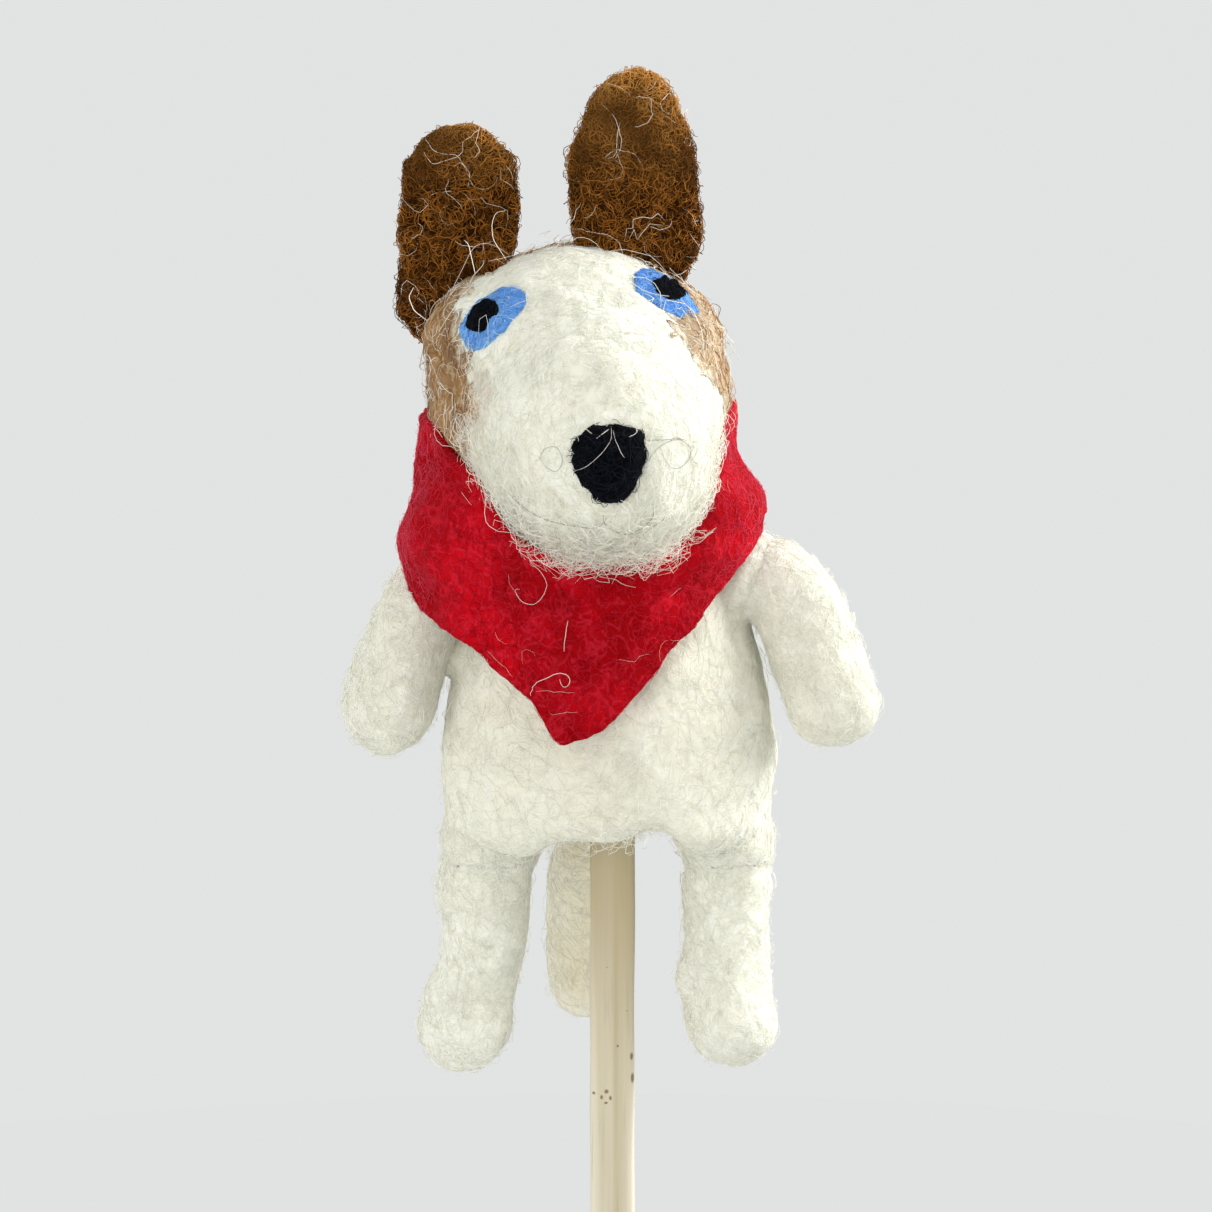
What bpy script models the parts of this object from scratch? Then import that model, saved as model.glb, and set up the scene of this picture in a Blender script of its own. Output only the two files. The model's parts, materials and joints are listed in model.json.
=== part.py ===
"""A needle-felted wool dog puppet on a narrow bamboo stick.

The origin is the middle of the stick's lower end. +Z runs up the stick, the dog faces -Y,
and the dog's own left side is +X. Helper functions take millimetres and return metres.
"""

import math

import bmesh
import bpy
from mathutils import Vector

MM = 0.001

# Stick.
STICK_WIDTH = 4.6
STICK_DEPTH = 3.4
STICK_LENGTH = 180.0
STICK_CORNER = 0.7

# Gaps between pieces that touch on the real puppet.
GAP = 0.35
PLAY = 0.4
ROOT_PLAY = 0.8

# Wool wad on the stick's top, and the finger pocket that it fills.
WAD_BORE = 2.95
WAD_RADIUS = 5.85
WAD_BOTTOM = 160.5
WAD_TOP = STICK_LENGTH + 1.8
WAD_TOP_ROUND = 2.0
WAD_BOTTOM_ROUND = 1.4
POCKET_RADIUS = WAD_RADIUS + GAP
POCKET_TOP = WAD_TOP + GAP
POCKET_MOUTH = 150.0

# Body: (height, half width, half depth) of each section, about BODY_X.
BODY_X = -0.45
BODY_SECTIONS = (
    (156.0, 12.6, 9.6),
    (156.6, 14.6, 11.2),
    (158.6, 16.4, 12.7),
    (164.0, 16.95, 13.4),
    (170.4, 16.2, 13.0),
    (176.0, 14.9, 12.1),
    (181.0, 13.4, 11.0),
    (184.4, 11.4, 9.8),
    (186.0, 9.0, 8.4),
)

# Neck plug: a round stalk in the body with a ball in the head.
NECK_X = -1.5
NECK_RADIUS = 5.8
NECK_BALL = 6.9
NECK_BALL_Z = 193.0
NECK_BOTTOM = POCKET_TOP + 1.5
NECK_HOLE_TOP = 190.0

# Socket in the head for the neck's ball: its lip's angle from straight up, and its flare.
SOCKET_LIP_ANGLE = 110.0
SOCKET_FLARE_RADIUS = 11.0
SOCKET_FLARE_Z = 183.0

# Head: the smooth hull of a big ball at the back and a small one at the nose.
SKULL = Vector((-3.4, 0.0, 201.2))
SKULL_RADIUS = 15.3
MUZZLE = Vector((-0.5, -17.2, 198.4))
MUZZLE_RADIUS = 10.3
PATCH_THICK = 1.3
PATCH_FRONT = -9.5
PATCH_BOTTOM = 191.5
PATCH_BEND = 203.0
PATCH_SLOPE = 0.78
PATCH_REACH = 24.0
BED_REACH = 18.0

# Eyes: their middles on the head's surface, and how far they stand off its nearest ball.
EYE_LEFT = Vector((5.4, -6.9, 211.9))
EYE_RIGHT = Vector((-11.8, -9.6, 210.0))
EYE_LIFT = 0.9
IRIS_RADIUS = 3.65
IRIS_THICK = 1.0
PUPIL_RADIUS = 1.95
PUPIL_THICK = 0.7

# Nose, a rounded triangle on the end of the muzzle.
NOSE_WIDTH = 7.6
NOSE_HEIGHT = 7.2
NOSE_THICK = 2.2
NOSE_DROP = 0.5
NOSE_TAPER = 0.25

# Ears: hinge depth under the skull's surface, and the groove there that takes the root.
EAR_ROOT_DEPTH = 1.9
EAR_GROOVE_RADIUS = 3.5
EAR_GROOVE_LENGTH = 9.4
EAR_CLEARANCE = 1.3

# Root sections (rise from the hinge, half length, half thickness).
EAR_ROOT = (
    (-2.0, 2.4, 0.8),
    (-1.2, 3.4, 1.6),
    (0.0, 3.9, 2.0),
    (2.0, 3.9, 2.0),
    (5.6, 3.6, 1.8),
)

# Blade sections (height, middle x, y, half width); a section's thickness follows its width
# until it reaches EAR_HALF_THICK.
EAR_HALF_THICK = 2.2
EAR_LEAST_SHARE = 0.35
EAR_SHARE_WIDTH = 6.0
EAR_LEFT_FOOT = Vector((6.8, 1.0, 12.65))
EAR_LEFT_BLADE = (
    (208.0, 3.0, 1.0, 5.0),
    (213.0, 2.6, 1.0, 6.6),
    (219.0, 2.2, 1.1, 6.7),
    (225.0, 2.0, 1.0, 6.3),
    (229.0, 1.9, 0.2, 5.0),
    (231.6, 2.1, -1.0, 3.3),
    (232.9, 2.3, -2.0, 1.4),
)
EAR_RIGHT_FOOT = Vector((-10.7, 1.0, 8.95))
EAR_RIGHT_BLADE = (
    (203.0, -16.5, 1.0, 4.0),
    (208.0, -15.9, 1.0, 5.6),
    (214.0, -15.5, 1.1, 5.9),
    (220.0, -15.0, 0.8, 6.2),
    (224.0, -15.0, -0.4, 5.4),
    (226.4, -14.8, -1.9, 3.6),
    (227.5, -14.6, -2.9, 1.6),
)

# Limbs and tail: (x, y, z, radius) along each one, its joint at the first point.
ARM_RIGHT = (
    (-13.9, -1.0, 182.5, 4.3),
    (-18.0, -1.9, 181.3, 4.4),
    (-20.6, -3.0, 175.8, 4.6),
    (-22.3, -4.2, 170.6, 4.8),
)
ARM_LEFT = (
    (13.0, -1.0, 183.4, 4.3),
    (17.2, -1.9, 181.9, 4.5),
    (19.8, -3.0, 176.4, 4.6),
    (21.8, -4.2, 171.2, 4.7),
)
LEG_RIGHT = (
    (-11.6, -0.6, 155.8, 3.5),
    (-12.3, -0.7, 152.2, 4.1),
    (-12.9, -0.9, 148.0, 4.5),
    (-13.4, -1.1, 143.0, 4.2),
    (-14.8, -2.6, 138.3, 4.9),
    (-15.1, -3.8, 137.4, 4.6),
)
LEG_LEFT = (
    (11.0, -0.6, 155.8, 3.5),
    (11.4, -0.7, 152.2, 4.1),
    (11.5, -0.9, 148.0, 4.4),
    (11.6, -1.1, 143.0, 4.3),
    (11.8, -2.4, 138.6, 4.8),
    (12.2, -3.6, 137.9, 4.5),
)
TAIL = (
    (-1.9, 10.5, 157.0, 2.6),
    (-1.9, 12.5, 153.5, 2.9),
    (-1.9, 15.0, 149.5, 4.0),
    (-1.9, 17.6, 143.0, 4.4),
    (-1.9, 19.0, 136.4, 4.3),
)

# Bandana: a collar band with its middle line on an oval, and the point that hangs in front.
FELT_THICK = 1.2
BAND_X = -2.7
BAND_HALF_WIDTH = 17.1
BAND_FRONT = 13.8
BAND_BACK = 18.6
BAND_TOP_FRONT = 186.2
BAND_TOP_RISE = 12.4
BAND_BOTTOM_FRONT = 183.5
BAND_BOTTOM_RISE = 6.6

# Degrees from the front where the band's edges start to rise, and over which they do.
BAND_TOP_TURNS = (38.0, 62.0)
BAND_BOTTOM_TURNS = (20.0, 55.0)

# The point hangs just under the band's lower edge.
POINT_TOP = BAND_BOTTOM_FRONT - 0.7
POINT_TIP = Vector((-4.2, -15.8, 169.6))
POINT_CORNER_RIGHT = -17.4
POINT_CORNER_LEFT = 12.0
POINT_TIP_HALF = 0.8
POINT_NARROWING = 0.85
POINT_CURL = 5.2

FELT = {
    "white_wool": ((0.74, 0.72, 0.62), 0.95),
    "brown_wool": ((0.12, 0.055, 0.018), 0.95),
    "tan_wool": ((0.40, 0.27, 0.15), 0.95),
    "blue_wool": ((0.13, 0.34, 0.62), 0.95),
    "black_wool": ((0.006, 0.007, 0.009), 0.9),
    "red_wool": ((0.42, 0.012, 0.025), 0.95),
    "bamboo": ((0.58, 0.49, 0.30), 0.55),
}


def clear_scene():
    for obj in list(bpy.data.objects):
        bpy.data.objects.remove(obj, do_unlink=True)


def collection(name):
    made = bpy.data.collections.new(name)
    bpy.context.scene.collection.children.link(made)
    return made


def material(name):
    colour, roughness = FELT[name]
    made = bpy.data.materials.get(name) or bpy.data.materials.new(name)
    made.use_nodes = True
    shader = made.node_tree.nodes["Principled BSDF"]
    shader.inputs["Base Color"].default_value = (*colour, 1.0)
    shader.inputs["Roughness"].default_value = roughness
    shader.inputs["Metallic"].default_value = 0.0
    return made


def add_part(name, data, stuff, origin=(0.0, 0.0, 0.0)):
    """Links an object to the puppet, its origin at the given point in millimetres."""
    obj = bpy.data.objects.new(name, data)
    obj.location = Vector(origin) * MM
    data.materials.append(material(stuff))
    PARTS.objects.link(obj)
    return obj


def hide_cutter(obj):
    obj.hide_render = True
    obj.display_type = "WIRE"
    CUTTERS.objects.link(obj)
    return obj


def add_cutter(name, mesh):
    return hide_cutter(bpy.data.objects.new(name, mesh))


def boolean(obj, other, operation):
    modifier = obj.modifiers.new(f"{operation.lower()}_{other.name}", "BOOLEAN")
    modifier.operation = operation
    modifier.object = other


def mesh_of(name, shape, origin=(0.0, 0.0, 0.0)):
    """Turns a bmesh in millimetres into a smooth-shaded mesh in metres about the origin."""
    bmesh.ops.recalc_face_normals(shape, faces=shape.faces)
    if shape.faces and shape.calc_volume(signed=True) < 0:
        bmesh.ops.reverse_faces(shape, faces=shape.faces)
    for vertex in shape.verts:
        vertex.co = (vertex.co - Vector(origin)) * MM
    mesh = bpy.data.meshes.new(name)
    shape.to_mesh(mesh)
    shape.free()
    mesh.shade_smooth()
    return mesh


def ball(centre, radii, across=28, down=14):
    shape = bmesh.new()
    bmesh.ops.create_uvsphere(shape, u_segments=across, v_segments=down, radius=1.0)
    for vertex in shape.verts:
        vertex.co = Vector(centre) + vertex.co * Vector(radii)
    return shape


def turned(name, profile, axis_x, steps=28):
    """A closed profile of (radius, height) pairs, top to bottom, turned about a vertical axis."""
    mesh = bpy.data.meshes.new(name)
    points = [(radius * MM, 0.0, height * MM) for radius, height in profile]
    edges = [(i, i + 1) for i in range(len(points) - 1)]
    mesh.from_pydata(points, edges, [])
    obj = bpy.data.objects.new(name, mesh)
    obj.location.x = axis_x * MM
    screw = obj.modifiers.new("turn", "SCREW")
    screw.steps = steps
    screw.render_steps = steps
    screw.use_merge_vertices = True
    screw.merge_threshold = 0.00001
    return obj


def turned_part(name, profile, axis_x, stuff):
    obj = turned(name, profile, axis_x)
    obj.data.materials.append(material(stuff))
    PARTS.objects.link(obj)


def arc(middle, height, radius, start, end, count):
    """Points (radius, height) on an arc, its angles in degrees from straight up."""
    angles = [math.radians(start + (end - start) * i / count) for i in range(count + 1)]
    return [
        (middle + radius * math.sin(angle), height + radius * math.cos(angle)) for angle in angles
    ]


def oval(centre, half_width, half_depth, count):
    turns = [2 * math.pi * i / count for i in range(count)]
    return [
        Vector(centre) + Vector((half_width * math.cos(t), half_depth * math.sin(t), 0.0))
        for t in turns
    ]


def loft(rings, closed=False):
    """A skin over rings of equal count, capped at both ends unless the last meets the first."""
    shape = bmesh.new()
    rows = [[shape.verts.new(point) for point in ring] for ring in rings]
    pairs = list(zip(rows, rows[1:]))
    if closed:
        pairs.append((rows[-1], rows[0]))
    for lower, upper in pairs:
        for i in range(len(lower)):
            j = (i + 1) % len(lower)
            shape.faces.new((lower[i], lower[j], upper[j], upper[i]))
    if not closed:
        shape.faces.new(rows[0])
        shape.faces.new(rows[-1])
    return shape


def prism(outline, near, far):
    """A (y, z) outline drawn out along X from near to far."""
    return loft([[Vector((x, y, z)) for y, z in outline] for x in (near, far)])


def smooth_path(points, per_span):
    """Catmull-Rom points, with their radii, through the given (x, y, z, radius) points."""
    rows = [Vector(point) for point in points]
    rows = [2 * rows[0] - rows[1]] + rows + [2 * rows[-1] - rows[-2]]
    path = []
    for a, b, c, d in zip(rows, rows[1:], rows[2:], rows[3:]):
        for i in range(per_span):
            t = i / per_span
            path.append(
                0.5 * (2 * b + (c - a) * t + (2 * a - 5 * b + 4 * c - d) * t**2
                       + (3 * b - a - 3 * c + d) * t**3)
            )
    path.append(rows[-2])
    return path


def round_end(at, outward, radius, count=4):
    """Rings' middles and radii over a half ball, from its wide part to just short of its tip."""
    angles = [0.5 * math.pi * (i + 1) / (count + 0.35) for i in range(count)]
    return [
        Vector((*(at + outward * radius * math.sin(angle)), radius * math.cos(angle)))
        for angle in angles
    ]


def roll(name, points, stuff, origin):
    """A felt roll with round ends: a beveled curve whose radius follows the given points."""
    path = smooth_path(points, 3)
    first, second, before, last = (Vector(path[i][:3]) for i in (0, 1, -2, -1))
    head = round_end(first, (first - second).normalized(), path[0][3])
    foot = round_end(last, (last - before).normalized(), path[-1][3])
    path = list(reversed(head)) + path + foot
    data = bpy.data.curves.new(name, "CURVE")
    data.dimensions = "3D"
    data.bevel_depth = MM
    data.bevel_resolution = 6
    data.use_fill_caps = True
    spline = data.splines.new("POLY")
    spline.points.add(len(path) - 1)
    for point, row in zip(spline.points, path):
        point.co = (*((Vector(row[:3]) - Vector(origin)) * MM), 1.0)
        point.radius = row[3]
    return add_part(name, data, stuff, origin)


def lens(centre, radius, towards, half_wide, half_tall, middle, half_thick, taper=0.0):
    """A pad that follows a ball, its middle layer standing off it, wider at its top by taper."""
    out = Vector(towards).normalized()
    along = (Vector((1.0, 0.0, 0.0)) - out * out.x).normalized()
    across = out.cross(along)
    shape = ball((0.0, 0.0, 0.0), (1.0, 1.0, 1.0), 18, 8)
    for vertex in shape.verts:
        u, v, w = vertex.co
        side = along * half_wide * u * (1.0 + taper * v) + across * half_tall * v
        way = (out * radius + side).normalized()
        vertex.co = Vector(centre) + way * (radius + middle + half_thick * w)
    return shape


def smooth_step(t):
    t = min(max(t, 0.0), 1.0)
    return t * t * (3 - 2 * t)


def build_stick():
    shape = bmesh.new()
    bmesh.ops.create_cube(shape, size=1.0)
    size = Vector((STICK_WIDTH, STICK_DEPTH, STICK_LENGTH))
    for vertex in shape.verts:
        vertex.co = vertex.co * size + Vector((0.0, 0.0, STICK_LENGTH / 2))
    long_edges = [
        edge for edge in shape.edges if abs(edge.verts[0].co.z - edge.verts[1].co.z) > 1.0
    ]
    bmesh.ops.bevel(shape, geom=long_edges, offset=STICK_CORNER, segments=4, affect="EDGES",
                    profile=0.5)
    add_part("stick", mesh_of("stick", shape), "bamboo")


def build_wad():
    profile = [(0.0, WAD_TOP)]
    profile += arc(WAD_RADIUS - WAD_TOP_ROUND, WAD_TOP - WAD_TOP_ROUND, WAD_TOP_ROUND, 0, 90, 4)
    profile += arc(WAD_RADIUS - WAD_BOTTOM_ROUND, WAD_BOTTOM + WAD_BOTTOM_ROUND,
                   WAD_BOTTOM_ROUND, 90, 180, 4)
    profile += [(WAD_BORE, WAD_BOTTOM), (WAD_BORE, STICK_LENGTH + GAP), (0.0, STICK_LENGTH + GAP)]
    turned_part("stick_wad", profile, 0.0, "white_wool")


def limb_socket(name, at, radius):
    return add_cutter(name, mesh_of(name, ball(at, (radius,) * 3, 18, 9)))


def build_torso():
    rings = [
        oval((BODY_X, 0.0, height), half_width, half_depth, 32)
        for height, half_width, half_depth in BODY_SECTIONS
    ]
    torso = add_part("torso", mesh_of("torso", loft(rings)), "white_wool")
    profile = [(0.0, POCKET_TOP)]
    profile += arc(POCKET_RADIUS - WAD_TOP_ROUND, POCKET_TOP - WAD_TOP_ROUND, WAD_TOP_ROUND,
                   0, 90, 4)
    profile += [(POCKET_RADIUS, POCKET_MOUTH), (0.0, POCKET_MOUTH)]
    pocket = turned("pocket_cutter", profile, 0.0)
    hole_radius = NECK_RADIUS + PLAY
    hole_floor = NECK_BOTTOM - GAP
    profile = [(0.0, NECK_HOLE_TOP), (hole_radius, NECK_HOLE_TOP), (hole_radius, hole_floor),
               (0.0, hole_floor)]
    neck_hole = turned("neck_cutter", profile, NECK_X)
    for cutter in (pocket, neck_hole):
        boolean(torso, hide_cutter(cutter), "DIFFERENCE")
    limbs = {"arm_right": ARM_RIGHT, "arm_left": ARM_LEFT, "leg_right": LEG_RIGHT,
             "leg_left": LEG_LEFT, "tail": TAIL}
    for name, points in limbs.items():
        x, y, z, radius = points[0]
        play = PLAY if name.startswith("arm") else ROOT_PLAY
        boolean(torso, limb_socket(f"{name}_socket", (x, y, z), radius + play), "DIFFERENCE")
        roll(name, points, "white_wool", (x, y, z))


def build_neck():
    low = math.degrees(math.asin(NECK_RADIUS / NECK_BALL))
    profile = [(0.0, NECK_BALL_Z + NECK_BALL)]
    profile += arc(0.0, NECK_BALL_Z, NECK_BALL, 15, 180 - low, 10)
    profile += [(NECK_RADIUS, NECK_BOTTOM), (0.0, NECK_BOTTOM)]
    turned_part("neck", profile, NECK_X, "white_wool")


def patch_region(name, spread):
    """The back and sides of the skull that the brown wool covers, grown by spread."""
    front = PATCH_FRONT - spread
    top = SKULL.z + PATCH_REACH
    outline = [
        (front, PATCH_BOTTOM - spread),
        (front, PATCH_BEND),
        (front + PATCH_SLOPE * (top - PATCH_BEND), top),
        (PATCH_REACH, top),
        (PATCH_REACH, PATCH_BOTTOM - spread),
    ]
    shape = prism(outline, SKULL.x - PATCH_REACH, SKULL.x + PATCH_REACH)
    return add_cutter(name, mesh_of(name, shape))


def ear_frame(foot):
    """The ear's hinge point, the way out of the skull there, and the hinge's direction."""
    out = foot.normalized()
    point = SKULL + out * (SKULL_RADIUS - EAR_ROOT_DEPTH)
    return point, out, Vector((out.z, 0.0, -out.x)).normalized()


def ear_groove(name, foot):
    point, _, hinge = ear_frame(foot)
    shape = bmesh.new()
    bmesh.ops.create_cone(shape, cap_ends=True, segments=16, radius1=EAR_GROOVE_RADIUS,
                          radius2=EAR_GROOVE_RADIUS, depth=EAR_GROOVE_LENGTH)
    turn = hinge.to_track_quat("Z", "Y").to_matrix()
    for vertex in shape.verts:
        vertex.co = point + turn @ vertex.co
    return add_cutter(name, mesh_of(name, shape))


def build_ear(name, foot, blade):
    point, out, hinge = ear_frame(foot)
    rings = []
    for height, x, y, half in blade:
        share = min(1.0, EAR_LEAST_SHARE + half / EAR_SHARE_WIDTH)
        rings.append(oval((x, y, height), half, EAR_HALF_THICK * share, 18))
    ear = add_part(name, mesh_of(name, loft(rings), point), "brown_wool", point)
    clearance = ball(SKULL, (SKULL_RADIUS + EAR_CLEARANCE,) * 3)
    boolean(ear, add_cutter(f"{name}_clearance", mesh_of(f"{name}_clearance", clearance)),
            "DIFFERENCE")
    back = out.cross(hinge)
    root_rings = []
    for rise, half_long, half_thick in EAR_ROOT:
        ring = oval((0.0, 0.0, 0.0), half_long, half_thick, 14)
        root_rings.append([point + out * rise + hinge * p.x + back * p.y for p in ring])
    root = add_cutter(f"{name}_root", mesh_of(f"{name}_root", loft(root_rings)))
    boolean(ear, root, "UNION")


def egg():
    """The head's hull over its two balls."""
    shape = bmesh.new()
    for centre, radius in ((SKULL, SKULL_RADIUS), (MUZZLE, MUZZLE_RADIUS)):
        end = ball(centre, (radius,) * 3)
        for vertex in end.verts:
            shape.verts.new(vertex.co)
        end.free()
    hull = bmesh.ops.convex_hull(shape, input=shape.verts)
    inside = [item for item in hull["geom_interior"] if isinstance(item, bmesh.types.BMVert)]
    bmesh.ops.delete(shape, geom=inside, context="VERTS")
    return shape


def inner_ball(point):
    """The ball inside the head's hull that a point of its surface lies on."""
    balls = [
        (SKULL.lerp(MUZZLE, i / 40), SKULL_RADIUS + (MUZZLE_RADIUS - SKULL_RADIUS) * i / 40)
        for i in range(41)
    ]
    return min(balls, key=lambda ball_: (point - ball_[0]).length - ball_[1])


def build_head():
    head = add_part("head", mesh_of("head", egg(), SKULL), "white_wool", SKULL)

    bed = add_cutter("patch_bed", mesh_of("patch_bed", ball(SKULL, (BED_REACH,) * 3, 24, 12)))
    inside = ball(SKULL, (SKULL_RADIUS - PATCH_THICK - GAP,) * 3)
    boolean(bed, add_cutter("bed_inside", mesh_of("bed_inside", inside)), "DIFFERENCE")
    boolean(bed, patch_region("bed_region", GAP), "INTERSECT")
    boolean(head, bed, "DIFFERENCE")

    patch_shape = ball(SKULL, (SKULL_RADIUS,) * 3)
    patch = add_part("head_patch", mesh_of("head_patch", patch_shape, SKULL), "tan_wool", SKULL)
    hollow = ball(SKULL, (SKULL_RADIUS - PATCH_THICK,) * 3)
    boolean(patch, add_cutter("patch_hollow", mesh_of("patch_hollow", hollow)), "DIFFERENCE")
    boolean(patch, patch_region("patch_region", 0.0), "INTERSECT")

    socket_radius = NECK_BALL + PLAY
    profile = [(0.0, NECK_BALL_Z + socket_radius)]
    profile += arc(0.0, NECK_BALL_Z, socket_radius, 12, SOCKET_LIP_ANGLE, 8)
    profile += [(SOCKET_FLARE_RADIUS, SOCKET_FLARE_Z), (0.0, SOCKET_FLARE_Z)]
    boolean(head, hide_cutter(turned("neck_socket", profile, NECK_X)), "DIFFERENCE")

    for side, foot in (("left", EAR_LEFT_FOOT), ("right", EAR_RIGHT_FOOT)):
        groove = ear_groove(f"ear_{side}_groove", foot)
        boolean(head, groove, "DIFFERENCE")
        boolean(patch, groove, "DIFFERENCE")
    build_ear("ear_left", EAR_LEFT_FOOT, EAR_LEFT_BLADE)
    build_ear("ear_right", EAR_RIGHT_FOOT, EAR_RIGHT_BLADE)


def build_face():
    iris_lift = EYE_LIFT + IRIS_THICK / 2
    pupil_lift = EYE_LIFT + IRIS_THICK + GAP + PUPIL_THICK / 2
    for side, at in (("left", EYE_LEFT), ("right", EYE_RIGHT)):
        centre, radius = inner_ball(at)
        iris = lens(centre, radius, at - centre, IRIS_RADIUS, IRIS_RADIUS, iris_lift,
                    IRIS_THICK / 2)
        pupil = lens(centre, radius, at - centre, PUPIL_RADIUS, PUPIL_RADIUS, pupil_lift,
                     PUPIL_THICK / 2)
        add_part(f"iris_{side}", mesh_of(f"iris_{side}", iris, at), "blue_wool", at)
        add_part(f"pupil_{side}", mesh_of(f"pupil_{side}", pupil, at), "black_wool", at)
    towards = Vector((0.0, -MUZZLE_RADIUS, -NOSE_DROP))
    nose = lens(MUZZLE, MUZZLE_RADIUS, towards, NOSE_WIDTH / 2, NOSE_HEIGHT / 2,
                GAP + NOSE_THICK / 2, NOSE_THICK / 2, NOSE_TAPER)
    add_part("nose", mesh_of("nose", nose, MUZZLE + towards), "black_wool", MUZZLE + towards)


def band_ring(turn):
    """The band's section at a turn from the front, in radians: four corners, from inside low."""
    away = abs(math.degrees(turn))
    top_start, top_span = BAND_TOP_TURNS
    bottom_start, bottom_span = BAND_BOTTOM_TURNS
    top = BAND_TOP_FRONT + BAND_TOP_RISE * smooth_step((away - top_start) / top_span)
    bottom = BAND_BOTTOM_FRONT + BAND_BOTTOM_RISE * smooth_step(
        (away - bottom_start) / bottom_span)
    depth = BAND_FRONT if abs(turn) < math.pi / 2 else BAND_BACK
    ring = []
    for offset, height in ((-0.5, bottom), (0.5, bottom), (0.5, top), (-0.5, top)):
        wide = BAND_HALF_WIDTH + offset * FELT_THICK
        deep = depth + offset * FELT_THICK
        ring.append(Vector((BAND_X + wide * math.sin(turn), -deep * math.cos(turn), height)))
    return ring


def build_band():
    count = 48
    turns = [-math.pi + 2 * math.pi * i / count for i in range(count)]
    shape = loft([band_ring(turn) for turn in turns], closed=True)
    add_part("bandana_band", mesh_of("bandana_band", shape), "red_wool")


def build_point():
    """The bandana's hanging point: a sheet that wraps the chest and narrows to its tip."""
    shape = bmesh.new()
    across, down = 14, 8
    middle = 0.5 * (POINT_CORNER_LEFT + POINT_CORNER_RIGHT)
    half = 0.5 * (POINT_CORNER_LEFT - POINT_CORNER_RIGHT)
    rows = []
    for j in range(down + 1):
        fall = j / down
        z = POINT_TOP + (POINT_TIP.z - POINT_TOP) * fall
        centre = middle + (POINT_TIP.x - middle) * fall
        reach = half * (1.0 - fall) ** POINT_NARROWING + POINT_TIP_HALF * fall
        front = -BAND_FRONT + (POINT_TIP.y + BAND_FRONT) * fall
        row = []
        for i in range(across + 1):
            side = 2 * i / across - 1
            x = centre + reach * side
            curl = POINT_CURL * ((x - middle) / half) ** 2
            row.append(shape.verts.new((x, front + curl, z)))
        rows.append(row)
    for upper, lower in zip(rows, rows[1:]):
        for i in range(across):
            shape.faces.new((upper[i], lower[i], lower[i + 1], upper[i + 1]))
    origin = Vector((middle, -BAND_FRONT, POINT_TOP))
    point = add_part("bandana_point", mesh_of("bandana_point", shape, origin), "red_wool", origin)
    solidify = point.modifiers.new("felt", "SOLIDIFY")
    solidify.thickness = FELT_THICK * MM
    solidify.offset = 0.0


clear_scene()
PARTS = collection("felt_dog_stick_puppet")
CUTTERS = collection("cutters")
build_stick()
build_wad()
build_torso()
build_neck()
build_head()
build_face()
build_band()
build_point()
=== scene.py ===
import json
import math

import bmesh
import bpy
import numpy as np
from mathutils import Matrix, Vector
from mathutils.bvhtree import BVHTree


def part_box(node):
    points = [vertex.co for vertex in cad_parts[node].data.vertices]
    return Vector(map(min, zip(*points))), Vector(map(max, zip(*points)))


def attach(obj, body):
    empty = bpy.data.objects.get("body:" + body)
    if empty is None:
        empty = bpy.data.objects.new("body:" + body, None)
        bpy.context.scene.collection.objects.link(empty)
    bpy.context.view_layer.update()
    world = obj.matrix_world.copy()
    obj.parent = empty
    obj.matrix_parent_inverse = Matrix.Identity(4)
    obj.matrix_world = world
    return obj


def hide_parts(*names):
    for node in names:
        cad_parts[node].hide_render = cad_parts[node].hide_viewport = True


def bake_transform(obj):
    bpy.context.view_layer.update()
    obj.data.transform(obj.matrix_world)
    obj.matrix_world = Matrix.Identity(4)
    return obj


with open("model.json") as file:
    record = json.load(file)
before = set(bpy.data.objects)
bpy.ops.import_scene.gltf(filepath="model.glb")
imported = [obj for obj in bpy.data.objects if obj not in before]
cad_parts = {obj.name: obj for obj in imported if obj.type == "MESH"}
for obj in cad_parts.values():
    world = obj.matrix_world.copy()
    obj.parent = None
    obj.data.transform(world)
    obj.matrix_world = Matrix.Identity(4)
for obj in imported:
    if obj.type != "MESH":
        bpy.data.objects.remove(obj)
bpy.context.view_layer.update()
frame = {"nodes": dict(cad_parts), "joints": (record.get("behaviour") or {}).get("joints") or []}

# A needle-felted dog on a bamboo stick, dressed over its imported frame.
MM = 0.001
# Pieces that cross a joint: the two bodies, and where the bend starts and ends, in metres.
BENDS = {
    "bandana": ("torso", "bandana_flap", (-0.0027, -0.0125, 0.1840), (-0.0027, -0.0150, 0.1790)),
    "hip_left": ("torso", "leg_left", (0.0114, -0.0006, 0.1539), (0.0114, -0.0006, 0.1475)),
    "hip_right": ("torso", "leg_right", (-0.0120, -0.0006, 0.1539), (-0.0120, -0.0006, 0.1475)),
}


# ---- frame

def box_mm(node):
    """Lowest and highest corner of a frame solid."""
    low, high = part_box(node)
    return np.array(low) / MM, np.array(high) / MM


def joint_mm(name):
    """The point that a joint turns about."""
    joint = next(joint for joint in frame["joints"] if joint["name"] == name)
    return np.array(joint["pos_m"], float) / MM


def middle(node):
    low, high = box_mm(node)
    return (low + high) / 2


# ---- meshes

def coords(mesh):
    flat = np.empty(len(mesh.vertices) * 3, np.float32)
    mesh.vertices.foreach_get("co", flat)
    return flat.reshape(-1, 3).astype(float) / MM


def set_coords(mesh, points):
    mesh.vertices.foreach_set("co", (points * MM).astype(np.float32).ravel())
    mesh.update()


def normals(mesh):
    flat = np.empty(len(mesh.vertices) * 3, np.float32)
    mesh.vertex_normals.foreach_get("vector", flat)
    return flat.reshape(-1, 3).astype(float)


def unit(vectors):
    length = np.linalg.norm(vectors, axis=-1, keepdims=True)
    return vectors / np.maximum(length, 1e-9)


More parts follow.
